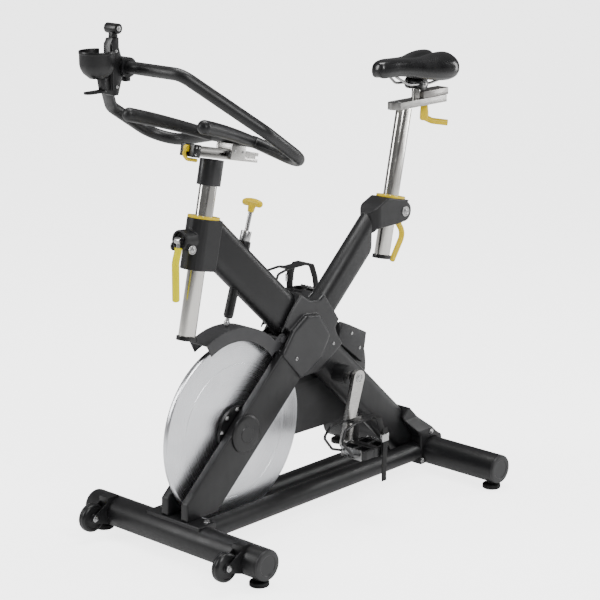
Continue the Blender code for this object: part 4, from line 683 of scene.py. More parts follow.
def make_frame():
    face = FRONT_FOOT + ALONG * 0.0363
    tube = solid_bar(HUB - MAIN * 0.50, HUB + MAIN * 0.5585, *MAIN_SIZE)
    tube = sliced(tube, face, -ALONG)
    tube = sliced(tube, post_point(FRONT_FOOT, 0.8193), UP)
    shell = cross_rod(CRANK, 0.024, -0.064, 0.0465, 64)
    piece("main_beam", joined(tube, shell), "frame_black", "frame", ["main_tube"], bevel=0.0012)
    seam = Vector((0.677, 0, 0.739)), Vector((0.676, 0, 0.649))
    slant = (seam[0] - seam[1]).normalized()
    arm = sliced(solid_bar(HUB, HUB + SEAT * 0.42, *SEAT_TUBE_SIZE), seam[0], ACROSS.cross(slant))
    piece("seat_beam", arm, "frame_black", "frame", ["seat_tube"], bevel=0.0012)
    for side_name, side in SIDES:
        leg = side_prism(leg_outline(), *(side * y for y in LEG_FACES_Y))
        piece(f"leg_skin_{side_name}", leg, "frame_black", "frame", [f"fork_leg_{side_name}"],
              bevel=0.0045, segments=5)
        cover(side_name, side)
    cast("front_head", "frame_black", 0.0012, 5)
    cast("seat_head", "frame_black", 0.0012, 6)
    discs = []
    for x, z, size in HEAD_PINS:
        disc = [(0, 0.0006), (0.0095, 0.0006), (0.0105, 0.0018), (0.0132, 0.0018), (0.0136, 0.0010)]
        disc = [(r * size, h) for r, h in disc + [(0.0136, -0.001), (0, -0.001)]]
        for side in (-1, 1):
            discs.append(turned(disc, across_matrix(Vector((x, side * 0.0312, z)), side), 64))
    for side in (-1, 1):
        for x, z, _ in HEAD_PINS:
            discs.append(button(Vector((x, side * 0.0315, z)), Vector((0, side, 0)), 0.0075, 0.0030))
    piece("head_pins", joined(*discs), "bolt", "frame")
    hole = tuple(size + 2 * GAP for size in POST_SIZE)
    for name, foot, z in (("front", FRONT_FOOT, 0.8195), ("seat", SEAT_FOOT, 0.7635)):
        place = bar_matrix(post_point(foot, z) + UP * 0.0033, UP)
        ring = prism([stadium(*COLLAR_SIZE), stadium(*hole)], 0.006, place)
        piece(f"{name}_collar_ring", ring, "yellow", "frame", [f"{name}_collar"], bevel=0.0017, segments=4)
    housings()
    guide()


def leg_outline():
    """A flat leg from the foot plate up into the crossing."""
    normal = ACROSS.cross(LEG)
    top = LEG_POINT + LEG * 0.052
    front, rear, low_z = -normal * (LEG_DEPTH / 2), normal * (LEG_DEPTH / 2), 0.0988
    rear_low = LEG_POINT + rear
    rear_low = rear_low - LEG * ((rear_low.z - low_z) / LEG.z)
    front_low = LEG_POINT + front
    front_low = front_low - LEG * ((front_low.z - 0.142) / LEG.z)
    points = [top + front, front_low, Vector((front_low.x - 0.002, 0, low_z)), rear_low, top + rear]
    return [(p.x, p.z) for p in points]


def cover(side_name, side):
    """The moulded shell over the crossing, its lip round the main tube and its screw."""
    deep = MAIN_SIZE[0] / 2 + 0.0062
    lip = []
    for step in range(15):
        t = step / 14
        bow = math.sin(math.pi * t) * 0.006
        point = HUB - MAIN * (0.1135 + bow - 0.004 * t)
        point = point - ACROSS.cross(MAIN) * (deep * (0.94 - 1.88 * t))
        lip.append(Vector((point.x, side * 0.0352, point.z)))
    lip = tube_along(lip, 0.0030)
    cast(f"hub_cover_{side_name}", "cover_black", 0.0013, 44, [lip])
    screws = [button(Vector((0.367, side * 0.0496, 0.425)), Vector((0, side, 0)), 0.0050, 0.0024)]
    if side < 0:
        screws.append(button(Vector((0.519, side * 0.0358, 0.430)), Vector((0, side, 0)), 0.0042, 0.0020))
    piece(f"cover_screw_{side_name}", joined(*screws), "bolt", "frame")


def housings():
    for side_name, side in SIDES:
        profile = [(0.0104, 0.0108), (0.052, 0.0108), (0.0645, 0.0124), (0.066, 0.0140), (0.066, 0.0200)]
        profile += [(0.0645, 0.0215), (0.0285, 0.0216), (0.0282, 0.0460), (0.0104, 0.0460), (0.0104, 0.0108)]
        place = across_matrix(Vector((FLYWHEEL.x, 0, FLYWHEEL.z)), side)
        parts = [turned(profile, place, 96)]
        if side < 0:
            dome = [(0, 0.0540), (0.020, 0.0538), (0.0215, 0.0525), (0.038, 0.0523), (0.0455, 0.0512)]
            dome += [(0.0475, 0.0498), (0.048, 0.0480), (0.048, 0.0464), (0, 0.0464)]
            parts.append(turned(dome, place, 96))
        piece(f"bearing_housing_{side_name}", joined(*parts), "plastic_black", "frame",
              [f"axle_housing_{side_name}"])
        bolts = []
        for angle in (94, 132, 170):
            turn = math.radians(angle)
            spot = FLYWHEEL + Vector((0.058 * math.cos(turn), 0, 0.058 * math.sin(turn)))
            spot.y = side * 0.0215
            bolts.append(hex_bolt(spot, Vector((0, side, 0)), 0.0045, 0.0034))
        piece(f"housing_bolts_{side_name}", joined(*bolts), "bolt", "frame", bevel=0.0003, segments=2)


def guide():
    cast("brake_guide", "plastic_black", 0.0008, 5)
    ring = [(0.0126, 0.2085), (0.0132, 0.2095), (0.0132, 0.2345), (0.0126, 0.2362), (0.0064, 0.2362)]
    ring += [(0.0064, 0.2085), (0.0126, 0.2085)]
    piece("guide_ring", turned(ring, aimed(ROD_END, ROD_WAY), 64), "bolt", "frame")


# ---- drive


def around(points):
    """The convex outline of a set of points."""
    runs = []
    for ordered in (sorted(points), sorted(points, reverse=True)):
        run = []
        for point in ordered:
            while len(run) > 1:
                (ax, ay), (bx, by) = run[-2], run[-1]
                if (bx - ax) * (point[1] - ay) - (by - ay) * (point[0] - ax) > 0:
                    break
                run.pop()
            run.append(point)
        runs += run[:-1]
    return runs


def guard_outline(inset=0.0):
    points = []
    for centre, radius in GUARD_CIRCLES:
        points += circle(radius - inset, 120, (centre.x, centre.z))
    return around(points)


def make_drive():
    half = 0.008
    profile = [(0.0103, 0.0100), (0.030, 0.0100), (0.034, 0.0094), (0.0345, half), (0.168, half)]
    profile += [(0.1685, half - 0.0004), (0.1705, half - 0.0004), (0.171, half), (0.2225, half)]
    profile += [(0.2262, half - 0.0006), (0.2283, half - 0.0026), (0.2288, half - 0.0045)]
    profile += [(r, -h) for r, h in reversed(profile)]
    piece("flywheel_disc", turned(profile + profile[:1], across_matrix(FLYWHEEL), 200),
          "polished_steel", "flywheel", ["flywheel"], sharp=30)
    outline = guard_outline()
    holes = [circle(0.024, 48, (FLYWHEEL.x, FLYWHEEL.z)), circle(0.030, 48, (CRANK.x, CRANK.z))]
    facets = [(0.632, 0.450), (0.665, 0.435), (0.728, 0.403), (0.723, 0.373), (0.711, 0.323), (0.612, 0.402)]
    plate = side_prism(outline, 0.0473, 0.0503, holes)
    piece("guard_plate", plate, "trim_grey", "frame", ["belt_guard_inner"], bevel=0.0009)
    facet = side_prism(facets, 0.0325, 0.0475)
    piece("guard_facet", facet, "trim_grey", "frame", bevel=0.003, segments=4)
    screws = [button(Vector((x, 0.0326, z)), Vector((0, -1, 0)), 0.0042, 0.0016)
              for x, z in ((0.668, 0.412), (0.700, 0.366))]
    piece("facet_screws", joined(*screws), "bolt", "frame")
    shell = side_prism(outline, 0.0507, 0.085, [circle(0.0163, 48, (CRANK.x, CRANK.z))])
    piece("guard_shell", shell, "cover_black", "frame", ["belt_guard_outer"], bevel=0.009, segments=6)
    rib = [Vector((x, 0.0848, z)) for x, z in guard_outline(GUARD_RIB_INSET)]
    piece("guard_rib", tube_along(rib, 0.0012, cyclic=True, resolution=4), "cover_black", "frame")
    cranks()


def cranks():
    down = Vector((-math.sin(CRANK_LEAN), 0, -math.cos(CRANK_LEAN)))
    for name, side, way in (("left", -1, down), ("right", 1, -down)):
        tip = CRANK + way * CRANK_LENGTH
        outline = two_circle_outline(CRANK, 0.0205, tip, 0.0145, 40)
        arm = side_prism(outline, side * 0.088, side * CRANK_OUTER_Y)
        piece(f"crank_arm_{name}", arm, "aluminium", "crank", [f"crank_{name}"], bevel=0.0028, segments=4)
        place = across_matrix(Vector((CRANK.x, side * CRANK_OUTER_Y, CRANK.z)), side)
        ring = [(0.0098, 0.0002), (0.0098, 0.0012), (0.0118, 0.0012), (0.0122, -0.001), (0.0098, -0.001)]
        ring.append(ring[0])
        cap = [(0, 0.0016), (0.0052, 0.0016), (0.0072, 0.0011), (0.0078, -0.001), (0, -0.001)]
        piece(f"crank_cap_{name}", joined(turned(ring, place, 64), turned(cap, place, 64)), "bolt", "crank")
        boss = [(0.0102, -0.0125), (0.0150, -0.0125), (0.0158, -0.0165), (0.0158, -0.021), (0.0102, -0.021)]
        boss.append(boss[0])
        piece(f"crank_boss_{name}", turned(boss, place, 64), "plastic_black", "crank")
        spin = [(0, 0.0135), (0.0066, 0.0135), (0.0066, 0.0104), (0.0098, 0.0096), (0.0104, 0.0088)]
        spin += [(0.0104, -0.0008), (0, -0.0008)]
        tip_face = across_matrix(Vector((tip.x, side * CRANK_OUTER_Y, tip.z)), side)
        boss_out = turned(spin, tip_face, 48)
        stud = cross_rod(tip, 0.0062, side * 0.110, side * 0.195, 32)
        nut = [(0, -0.0134), (0.0072, -0.0134), (0.0084, -0.0122), (0.0084, -0.0112), (0, -0.0112)]
        back = turned(nut, tip_face, 48)
        piece(f"pedal_spindle_{name}", joined(boss_out, stud, back), "bolt", "crank")
        pedal(name, side, tip)


def pedal(name, side, tip):
    """Resin body with bright side plates, a toe clip and its strap with a hanging tail."""
    body_name = f"{name}_pedal"
    centre = Vector((tip.x, side * PEDAL_Y, tip.z))
    flat = Matrix.Translation(centre)
    long, wide, high = 0.049, 0.0425, 0.026
    outer = [(-long + 0.010, -wide), (long - 0.010, -wide), (long, -wide + 0.008), (long, wide - 0.008)]
    outer += [(long - 0.010, wide), (-long + 0.010, wide), (-long, wide - 0.008), (-long, -wide + 0.008)]
    holes = []
    for way in (-1, 1):
        near, far = way * 0.0135, way * (long - 0.007)
        for low, top in ((-wide + 0.009, -0.004), (0.004, wide - 0.009)):
            holes.append([(near, low), (far, low), (far, top), (near, top)])
    body = prism([outer, *holes], high - 0.004, flat)
    barrel = cross_rod(centre, 0.0125, centre.y - 0.0435, centre.y + 0.0435, 48)
    piece(f"pedal_body_{name}", joined(body, barrel), "plastic_black", body_name, [f"pedal_{name}"],
          bevel=0.0016)
    plates = []
    for way in (-1, 1):
        rim = Matrix.Translation(centre + Vector((way * (long + 0.0008), 0, 0)))
        plates.append(box((0.0016, 0.068, high + 0.0010), rim))
        for step in range(7):
            y = -0.030 + step * 0.010
            tooth = Matrix.Translation(centre + Vector((way * (long + 0.0008), y, high / 2 + 0.0007)))
            plates.append(box((0.0016, 0.0045, 0.0022), tooth))
    piece(f"pedal_plates_{name}", joined(*plates), "bolt", body_name, bevel=0.0004, segments=2)
    front = -0.049 - 0.0042
    half = [(0.030, 0.002), (0.034, 0.012), (0.030, 0.052), (0.024, 0.078), (0.017, 0.084)]
    ahead = [0.0, -0.030, -0.066, -0.046, 0.004]
    corners = [centre + Vector((front + x, -y, z)) for x, (y, z) in zip(ahead, half)]
    corners += [centre + Vector((front + x, y, z)) for x, (y, z) in reversed(list(zip(ahead, half)))]
    loop = tube_along(smooth_route(corners, [0.013] * 8, 10), 0.0034, resolution=6)
    bridge = box_between(centre + Vector((-0.052, -0.016, 0.0798)), centre + Vector((0.030, 0.016, 0.0832)))
    piece(f"toe_clip_{name}", joined(loop, bridge), "plastic_black", body_name, [f"toe_cage_{name}"],
          bevel=0.0008)
    edge, low, top = 0.0478, -0.0165, 0.0828
    path = [(-edge + 0.006, low), (edge - 0.006, low), (edge, low + 0.006), (edge, 0.022)]
    path += [(edge - 0.005, 0.052), (0.030, top), (-0.030, top), (-edge + 0.005, 0.052), (-edge, 0.022)]
    path += [(-edge, low + 0.006)]
    ring = [Vector((0, y, z)) for y, z in path]
    ring = smooth_route([ring[-1], *ring, ring[0]], [0.005] * 10, 6)[1:-1]
    inner = [(p.y * (1 - 0.0021 / 0.045), p.z * (1 - 0.0021 / 0.06) + 0.0007) for p in ring]
    across = frame_matrix(centre + Vector((0.0215, 0, 0)), ACROSS, SKY, Vector((1, 0, 0)))
    strap = prism([[(p.y, p.z) for p in ring], inner], 0.019, across)
    outside = centre + Vector((0.0215, side * (edge + 0.0015), 0))
    tail = []
    for step in range(21):
        t = step / 20
        tail.append((0.062 - 0.142 * t, 0.0016 * math.sin(5.5 * t) + 0.0008))
    thick = 0.0009
    shape = [(side * (y + thick), z) for z, y in tail] + [(side * (y - thick), z) for z, y in reversed(tail)]
    hanging = prism([shape], 0.017, frame_matrix(outside, ACROSS, SKY, Vector((1, 0, 0))))
    piece(f"toe_strap_{name}", joined(strap, hanging), "rubber_black", body_name, bevel=0.0005, segments=2)
    buckle_low = outside + Vector((-0.0125, -0.0042, 0.026))
    buckle = box_between(buckle_low, outside + Vector((0.0125, 0.0042, 0.046)))
    bar = rod(outside + Vector((-0.014, 0, 0.036)), outside + Vector((0.014, 0, 0.036)), 0.0026, 24)
    piece(f"strap_buckle_{name}", joined(buckle, bar), "bolt", body_name, bevel=0.0012)


# ---- brake


def make_brake():
    long = (ROD_TOP - ROD_END).length
    place = aimed(ROD_END, ROD_WAY)
    profile = [(0, long - 0.014), (0.0052, long - 0.014), (0.0052, 0.0135), (0.0070, 0.0130)]
    profile += [(0.0076, 0.0118), (0.0076, 0.0065), (0.0056, 0.0018), (0.0018, 0.0), (0, 0.0)]
    piece("push_rod", turned(profile, place, 48), "bolt", "brake_push_rod", ["brake_rod"])
    stem = rod(ROD_TOP - ROD_WAY * 0.0180, ROD_TOP, 0.0074, 40, 0.0100)
    bar, scales = [], []
    for step in range(33):
        t = step / 16 - 1
        bar.append(ROD_TOP + ACROSS * (0.0315 * t) + ROD_WAY * (0.007 - 0.004 * t * t))
        scales.append((1.15 - 0.14 * t * t) * min(1.0, math.sqrt(max(0.04, 1 - abs(t) ** 9))))
    grip = tube_along(bar, 0.0085, scales=scales)
    piece("tension_knob", joined(stem, grip), "yellow", "brake_tee", ["brake_knob"], voxel=0.0007, smooth=7)
    cast("brake_arm", "arm_grey", 0.0011, 4)
    cast("brake_pad", "felt", 0.0010, 2)


# ---- handlebar


def make_handlebar():
    for name, foot, top_z, body, node in (
        ("front", FRONT_FOOT, 0.950, "bar_post", "handlebar_post"),
        ("rear", SEAT_FOOT, 0.9928, "saddle_post", "seat_post"),
    ):
        top, low = post_point(foot, top_z), foot + UP * 0.0065
        tube = prism([stadium(*POST_SIZE, 28)], (top - low).length, bar_matrix((top + low) / 2, UP))
        if name == "rear":
            tube = sliced(tube, Vector((0, 0, 0.9932)), SKY)
        piece(f"{name}_post_tube", tube, "chrome_post", body, [node], bevel=0.0006)
        cap = prism([stadium(*POST_CAP_SIZE, 28)], 0.0095, bar_matrix(foot + UP * 0.0022, UP))
        piece(f"{name}_post_cap", cap, "plastic_black", body, bevel=0.0022, segments=4)
    low, high = post_point(FRONT_FOOT, 0.897), post_point(FRONT_FOOT, 0.957)
    sleeve = prism([stadium(*SLEEVE_SIZE, 28)], (high - low).length, bar_matrix((low + high) / 2, UP))
    piece("post_sleeve", sleeve, "cover_black", "bar_post", bevel=0.0030, segments=4)
    rail()
    bars()
    console()
    bar_levers()


def rail():
    wide, high, lip, deep = 0.020, 0.01175, 0.0034, 0.0085
    right = [(wide, -high), (wide, -lip), (wide - 0.0022, -lip), (wide - 0.0022, -0.0058)]
    right += [(wide - deep, -0.0058), (wide - deep, 0.0058), (wide - 0.0022, 0.0058)]
    right += [(wide - 0.0022, lip), (wide, lip), (wide, high)]
    top = [(0.007, high), (0.0062, high - 0.0012), (-0.0062, high - 0.0012), (-0.007, high)]
    outline = right + top + [(-y, -z) for y, z in right] + [(-y, -z) for y, z in top]
    start, end = rail_point(0.067), rail_point(0.263)
    shape = prism([outline], (end - start).length, frame_matrix((start + end) / 2, ACROSS, UP, ALONG))
    piece("slide_rail", shape, "aluminium", "bar_post", ["handlebar_rail"], bevel=0.0005, segments=2)
    block = []
    for side in (-1, 1):
        place = frame_matrix(rail_point(0.0585) + ACROSS * side * 0.0145, ACROSS, UP, ALONG)
        block.append(box((0.0175, 0.0303, 0.0222), place))
    block.append(box((0.0462, 0.0303, 0.0080), frame_matrix(rail_point(0.0650), ACROSS, UP, ALONG)))
    piece("rail_end_block", joined(*block), "plastic_black", "bar_post", bevel=0.0013)
    bolts = []
    for side in (-1, 1):
        for lift, run in ((0.0085, 0.0545), (-0.0085, 0.0545), (0.0085, 0.0640)):
            place = rail_point(run, lift) + ACROSS * side * 0.0231
            bolts.append(button(place, ACROSS * side, 0.0030, 0.0016))
    piece("rail_end_bolts", joined(*bolts), "bolt", "bar_post")
    place = frame_matrix(rail_point(0.189, 0.008), ACROSS, UP, ALONG)
    plates = []
    for side in (-1, 1):
        shift = Matrix.Translation(ACROSS * side * 0.0238)
        plates.append(box((0.0064, 0.038, 0.048), shift @ place))
    bridge = frame_matrix(rail_point(0.189, 0.0196), ACROSS, UP, ALONG)
    plates.append(box((0.0535, 0.0145, 0.048), bridge))
    piece("bar_slider", joined(*plates), "aluminium", "bars", ["handlebar_carriage"], bevel=0.0016)
    knob = [(0, 0.0085), (0.0040, 0.0085), (0.0060, 0.0075), (0.0066, 0.0050), (0.0066, 0.0004), (0, 0.0004)]
    spots = [turned(knob, across_matrix(rail_point(0.158, 0.002) + ACROSS * side * 0.0202, side), 36)
             for side in (-1, 1)]
    piece("slider_knobs", joined(*spots), "plastic_black", "bars")
    caps = [button(rail_point(0.189 + run, 0.010) + ACROSS * side * 0.0270, ACROSS * side, 0.0034, 0.0018)
            for side in (-1, 1) for run in (-0.014, 0.014)]
    piece("slider_bolts", joined(*caps), "bolt", "bars")


def bars():
    corners = []
    for side in (1, -1):
        run = [Vector((p.x, side * p.y, p.z)) for p in (BAR_FRONT, BAR_KINK, BAR_TIP, BAR_INNER)]
        corners += run if side == 1 else run[::-1]
    radii = list(BAR_BENDS) + list(BAR_BENDS[::-1])
    ring = [corners[-1]] + corners + [corners[0]]
    loop = tube_along(smooth_route(ring, radii, 20)[1:-1], BAR_RADIUS, cyclic=True, resolution=10)
    paddles = []
    for side in (-1, 1):
        start = Vector((BAR_INNER.x - 0.004, side * BAR_INNER.y, BAR_INNER.z))
        end = Vector((PADDLE_END.x, side * PADDLE_END.y, PADDLE_END.z))
        bend = start + (end - start) * 0.5 + Vector((0, side * 0.006, 0.006))
        points, scales = [], []
        for step in range(41):
            t = step / 40
            points.append(start * (1 - t) ** 2 + bend * 2 * t * (1 - t) + end * t**2)
            scales.append(0.97 + 0.18 * math.sin(math.pi / 2 * t) ** 2)
        tail = (points[-1] - points[-2]).normalized()
        for step in range(1, 11):
            turn = step / 10 * math.pi / 2
            points.append(end + tail * 0.0155 * math.sin(turn))
            scales.append(max(0.08, 1.15 * math.cos(turn)))
        paddles.append(tube_along(points, BAR_RADIUS, scales=scales, resolution=10))
    piece("dipped_bars", joined(loop, *paddles), "grip_black", "bars", ["handlebar"], voxel=0.0013,
          smooth=12)


def console():
    bar = Vector((BAR_FRONT.x, 0, BAR_FRONT.z))
    low, high = CONSOLE_Y - 0.020, CONSOLE_Y + 0.020
    clamps = []
    bore = circle(BAR_RADIUS + 0.0003, 72, (bar.x, bar.z))
    bands = [(0.0228, low, CONSOLE_Y - 0.0125), (0.0228, CONSOLE_Y - 0.0115, CONSOLE_Y + 0.0115)]
    bands += [(0.0228, CONSOLE_Y + 0.0125, high), (0.0205, low + 0.001, high - 0.001)]
    for radius, one, two in bands:
        clamps.append(side_prism(circle(radius, 72, (bar.x, bar.z)), one, two, [bore]))
    lug_low = (bar.x - 0.004, CONSOLE_Y - 0.012, bar.z - 0.033)
    lug = box_between(lug_low, (bar.x + 0.010, CONSOLE_Y + 0.012, bar.z - 0.018))
    outline = [(-0.1430, 1.136), (-0.1345, 1.133), (-0.1215, 1.133), (-0.1155, 1.150), (-0.1085, 1.172)]
    outline += [(-0.1080, 1.214), (-0.1165, 1.240), (-0.1165, 1.262), (-0.1355, 1.262), (-0.1430, 1.246)]
    plate = side_prism(outline, CONSOLE_Y - 0.011, CONSOLE_Y + 0.011)
    rib = side_prism([(-0.1400, 1.145), (-0.1370, 1.145), (-0.1370, 1.252), (-0.1400, 1.252)],
                     CONSOLE_Y - 0.0135, CONSOLE_Y + 0.0135)
    neck = side_prism([(-0.1325, 1.258), (-0.1150, 1.258), (-0.1160, 1.284), (-0.1300, 1.284)],
                      CONSOLE_Y - 0.0065, CONSOLE_Y + 0.0065)
    top = cross_rod((-0.123, 0, 1.283), 0.0118, CONSOLE_Y - 0.018, CONSOLE_Y + 0.018, 64)
    piece("console_clamp", joined(*clamps, lug, plate, rib, neck, top), "plastic_black", "bars",
          ["console_bracket"], bevel=0.0013)
    spots = [button(Vector((-0.125, CONSOLE_Y + side * 0.0112, z)), ACROSS * side, 0.0036, 0.0020)
             for side in (-1, 1) for z in (1.152, 1.232)]
    spots += [button(Vector((-0.123, CONSOLE_Y + side * 0.0180, 1.283)), ACROSS * side, 0.0060, 0.0024)
              for side in (-1, 1)]
    piece("console_bolts", joined(*spots), "bolt", "bars")
    r, wall, tall = 0.041, 0.0028, 0.066
    profile = [(0, 0.008), (0.020, 0.008), (r - 0.012, 0.019), (r - 0.0055, 0.028), (r - wall, 0.040)]
    profile += [(r - wall, tall - 0.001), (r - wall + 0.001, tall), (r - 0.0005, tall), (r, tall - 0.001)]
    profile += [(r, tall - 0.006), (r - 0.0009, tall - 0.0072), (r - 0.0009, 0.036), (r - 0.0032, 0.026)]
    profile += [(r - 0.0095, 0.0150), (0.018, 0.004), (0, 0.004)]
    cup = turned(profile[::-1], Matrix.Translation(HOLDER), 128)
    cup = sliced(cup, Vector((-0.1436, 0, 0)), Vector((1, 0, 0)))
    stalk = side_prism([(-0.170, 1.180), (-0.150, 1.184), (-0.1545, 1.146), (-0.164, 1.146)],
                       CONSOLE_Y - 0.007, CONSOLE_Y + 0.007)
    tongue = prism([stadium(0.062, 0.024, 20)], 0.0046, Matrix.Translation((-0.1800, CONSOLE_Y, 1.1455)))
    piece("bottle_cup", joined(cup, stalk, tongue), "plastic_black", "bars", ["bottle_holder"], bevel=0.0006,
          segments=2)


def round_ended(route, reach):
    """A lever's route and its scales, with a rounded free end."""
    end = route[-1]
    tail = (end - route[-2]).normalized()
    route, scales = list(route), [1.0] * len(route)
    for step in range(1, 9):
        turn = step / 8 * math.pi / 2
        route.append(end + tail * reach * math.sin(turn))
        scales.append(max(0.1, math.cos(turn) ** 0.8))
    return route, scales


def bar_levers():
    centre = rail_point(0.046, 0.004)
    hub = cross_rod(centre, 0.0076, -0.005, 0.005)
    corners = [centre, rail_point(0.036, -0.010), rail_point(0.052, -0.0215), rail_point(0.082, -0.0225)]
    arm = tube_along(smooth_route(corners, [0.010, 0.010], 10), 0.0044)
    piece("rail_clamp", joined(hub, arm), "yellow", "bar_clamp_lever", ["handlebar_lever"],
          voxel=0.0006, smooth=6)
    centre = Vector((0.0165, 0, 0.780))
    knuckle = joined(cross_rod(centre, 0.0086, -0.009, 0.009),
                     rod(centre + Vector((0, 0, -0.002)), Vector((0.0138, 0, 0.752)), 0.0058))
    bends = [Vector((0.0138, 0, 0.757)), Vector((0.0045, 0, 0.728)), Vector((0.004, 0, 0.6395))]
    route = smooth_route([Vector((0.0148, 0, 0.763)), *bends], [0.004, 0.03], 12)
    route, scales = round_ended(route, 0.0056)
    piece("cam_lever", knuckle, "bolt", "post_cam_lever", bevel=0.0008)
    piece("cam_grip", tube_along(route, 0.0090, scales=scales), "lemon", "post_cam_lever", ["front_lever"])


# ---- seat


def make_seat():
    half, z_low, z_high = 0.020, 0.9935, 1.0118
    round_end = arc((0.775 + half, 0), half, math.pi / 2, 3 * math.pi / 2, 36)
    slot = [(0.868, -0.0055), (0.966, -0.0055), (0.966, 0.0055), (0.868, 0.0055)]
    flat = Matrix.Translation((0, 0, (z_low + z_high) / 2))
    shape = prism([round_end + [(0.982, -half), (0.982, half)], slot], z_high - z_low, flat)
    piece("saddle_rail", shape, "dark_aluminium", "saddle_post", ["seat_rail"], bevel=0.0024, segments=4)
    spots = [button(Vector((0.800, y, z_high)), SKY, 0.0042, 0.0016) for y in (-0.009, 0.009)]
    piece("saddle_rail_bolts", joined(*spots), "bolt", "saddle_post")
    low = z_high + 0.0003
    bar = box_between((0.887, -0.019, low), (0.990, 0.019, 1.031))
    base = box_between((0.868, -0.0105, low), (0.892, 0.0105, low + 0.0042))
    piece("saddle_slider", joined(bar, base), "steel", "saddle_slide", ["seat_carriage"], bevel=0.0018)
    stub = [(0, 0.0265), (0.0112, 0.0265), (0.0115, 0.0255), (0.0115, 0.0002), (0, 0.0002)]
    piece("saddle_stub", turned(stub, Matrix.Translation((0.878, 0, low))), "chrome_post", "saddle_slide")
    stud = rod((0.913, 0, 0.985), (0.913, 0, 1.009), 0.0042, 24)
    hub = [(0, 0.0), (0.0085, 0.0), (0.0110, 0.0022), (0.0118, 0.006), (0.0112, 0.022), (0.0092, 0.0400)]
    hub += [(0.0082, 0.0412), (0, 0.0412)]
    hub = turned(hub, Matrix.Translation((0.913, 0, 0.9503)))
    corners = [Vector((0.913, 0, 0.958)), Vector((0.928, -0.014, 0.9480)), Vector((0.957, -0.044, 0.9430))]
    arm = tube_along(smooth_route(corners, [0.02], 12), 0.0082)
    piece("slide_lever", joined(stud, hub, arm), "yellow", "slide_handle", ["seat_slide_lever"],
          voxel=0.0007, smooth=5)
    cam = Vector((0.8095, 0, 0.6925))
    corners = [cam, Vector((0.834, 0, 0.659)), Vector((0.790, 0, 0.5945))]
    route = smooth_route(corners, [0.030], 14)
    route, scales = round_ended(route, 0.0052)
    grip = joined(cross_rod(cam, 0.0074, -0.009, 0.009), tube_along(route, 0.0076, scales=scales))
    piece("seat_cam_grip", grip, "yellow", "seat_cam_lever", ["seat_lever"], voxel=0.0007, smooth=5)
    saddle()


SADDLE_SECTIONS = [
    (0.717, 0.006, 1.105, 1.091),
    (0.721, 0.018, 1.118, 1.081),
    (0.732, 0.024, 1.125, 1.076),
    (0.756, 0.029, 1.128, 1.076),
    (0.793, 0.034, 1.127, 1.075),
    (0.830, 0.045, 1.125, 1.069),
    (0.868, 0.061, 1.125, 1.058),
    (0.905, 0.073, 1.129, 1.050),
    (0.938, 0.079, 1.130, 1.048),
    (0.961, 0.076, 1.127, 1.053),
    (0.973, 0.064, 1.117, 1.064),
    (0.978, 0.044, 1.104, 1.080),
]


def section_at(t):
    """Smooth (x, half width, top, bottom) along the saddle, t from 0 to 1."""
    last = len(SADDLE_SECTIONS) - 1
    place = t * last
    k = min(int(place), last - 1)
    u = place - k
    rows = [SADDLE_SECTIONS[min(max(k + d, 0), last)] for d in (-1, 0, 1, 2)]
    values = []
    for a, b, c, d in zip(*rows):
        values.append(0.5 * (2 * b + (c - a) * u + (2 * a - 5 * b + 4 * c - d) * u**2
                             + (3 * b - a - 3 * c + d) * u**3))
    return values


def step_up(value, low, high):
    t = min(1.0, max(0.0, (value - low) / (high - low)))
    return t * t * (3 - 2 * t)


def crown(x, y, z, half, upper):
    """Two rear lobes with a channel between them, pulled-in flanks and a hollow underside."""
    deep = 0.0085 * step_up(x, 0.80, 0.90) + 0.0022 * step_up(x, 0.735, 0.80)
    lobe = math.exp(-((y / 0.0135) ** 2))
    if upper > 0:
        z -= deep * lobe * upper
        z += 0.0030 * step_up(x, 0.86, 0.93) * math.exp(-(((abs(y) - 0.040) / 0.022) ** 2)) * upper
    else:
        rear = 0.0100 * step_up(x, 0.83, 0.90)
        z += (0.0060 + rear) * (-upper) * math.exp(-((y / max(0.006, half * 0.62)) ** 2))
    x -= 0.010 * step_up(x, 0.940, 0.978) * math.exp(-((y / 0.017) ** 2))
    return x, y, z


def saddle_shell(rings=110, steps=144):
    """Rounded sections joined along the saddle, with a shallow seam line low on each flank."""
    shape = bmesh.new()
    loops = []
    for k in range(rings + 1):
        t = 0.5 - 0.5 * math.cos(math.pi * k / rings)
        x, half, top, bottom = section_at(t)
        middle, tall = (top + bottom) / 2, (top - bottom) / 2
        loop = []
        for step in range(steps):
            turn = math.tau * step / steps
            c, s = math.cos(turn), math.sin(turn)
            y = half * math.copysign(abs(c) ** 0.78, c)
            level = math.copysign(abs(s) ** 0.82, s)
            px, py, pz = crown(x, y, middle + tall * level, half, level)
            seam = math.exp(-(((level + 0.42) / 0.055) ** 2)) * 0.0009
            py -= math.copysign(seam, y)
            loop.append(shape.verts.new((px, py, pz)))
        loops.append(loop)
    for one, two in zip(loops, loops[1:]):
        for step in range(steps):
            nxt = (step + 1) % steps
            shape.faces.new((one[step], one[nxt], two[nxt], two[step]))
    shape.faces.new(loops[0])
    shape.faces.new(loops[-1])
    bmesh.ops.recalc_face_normals(shape, faces=shape.faces)
    return shape


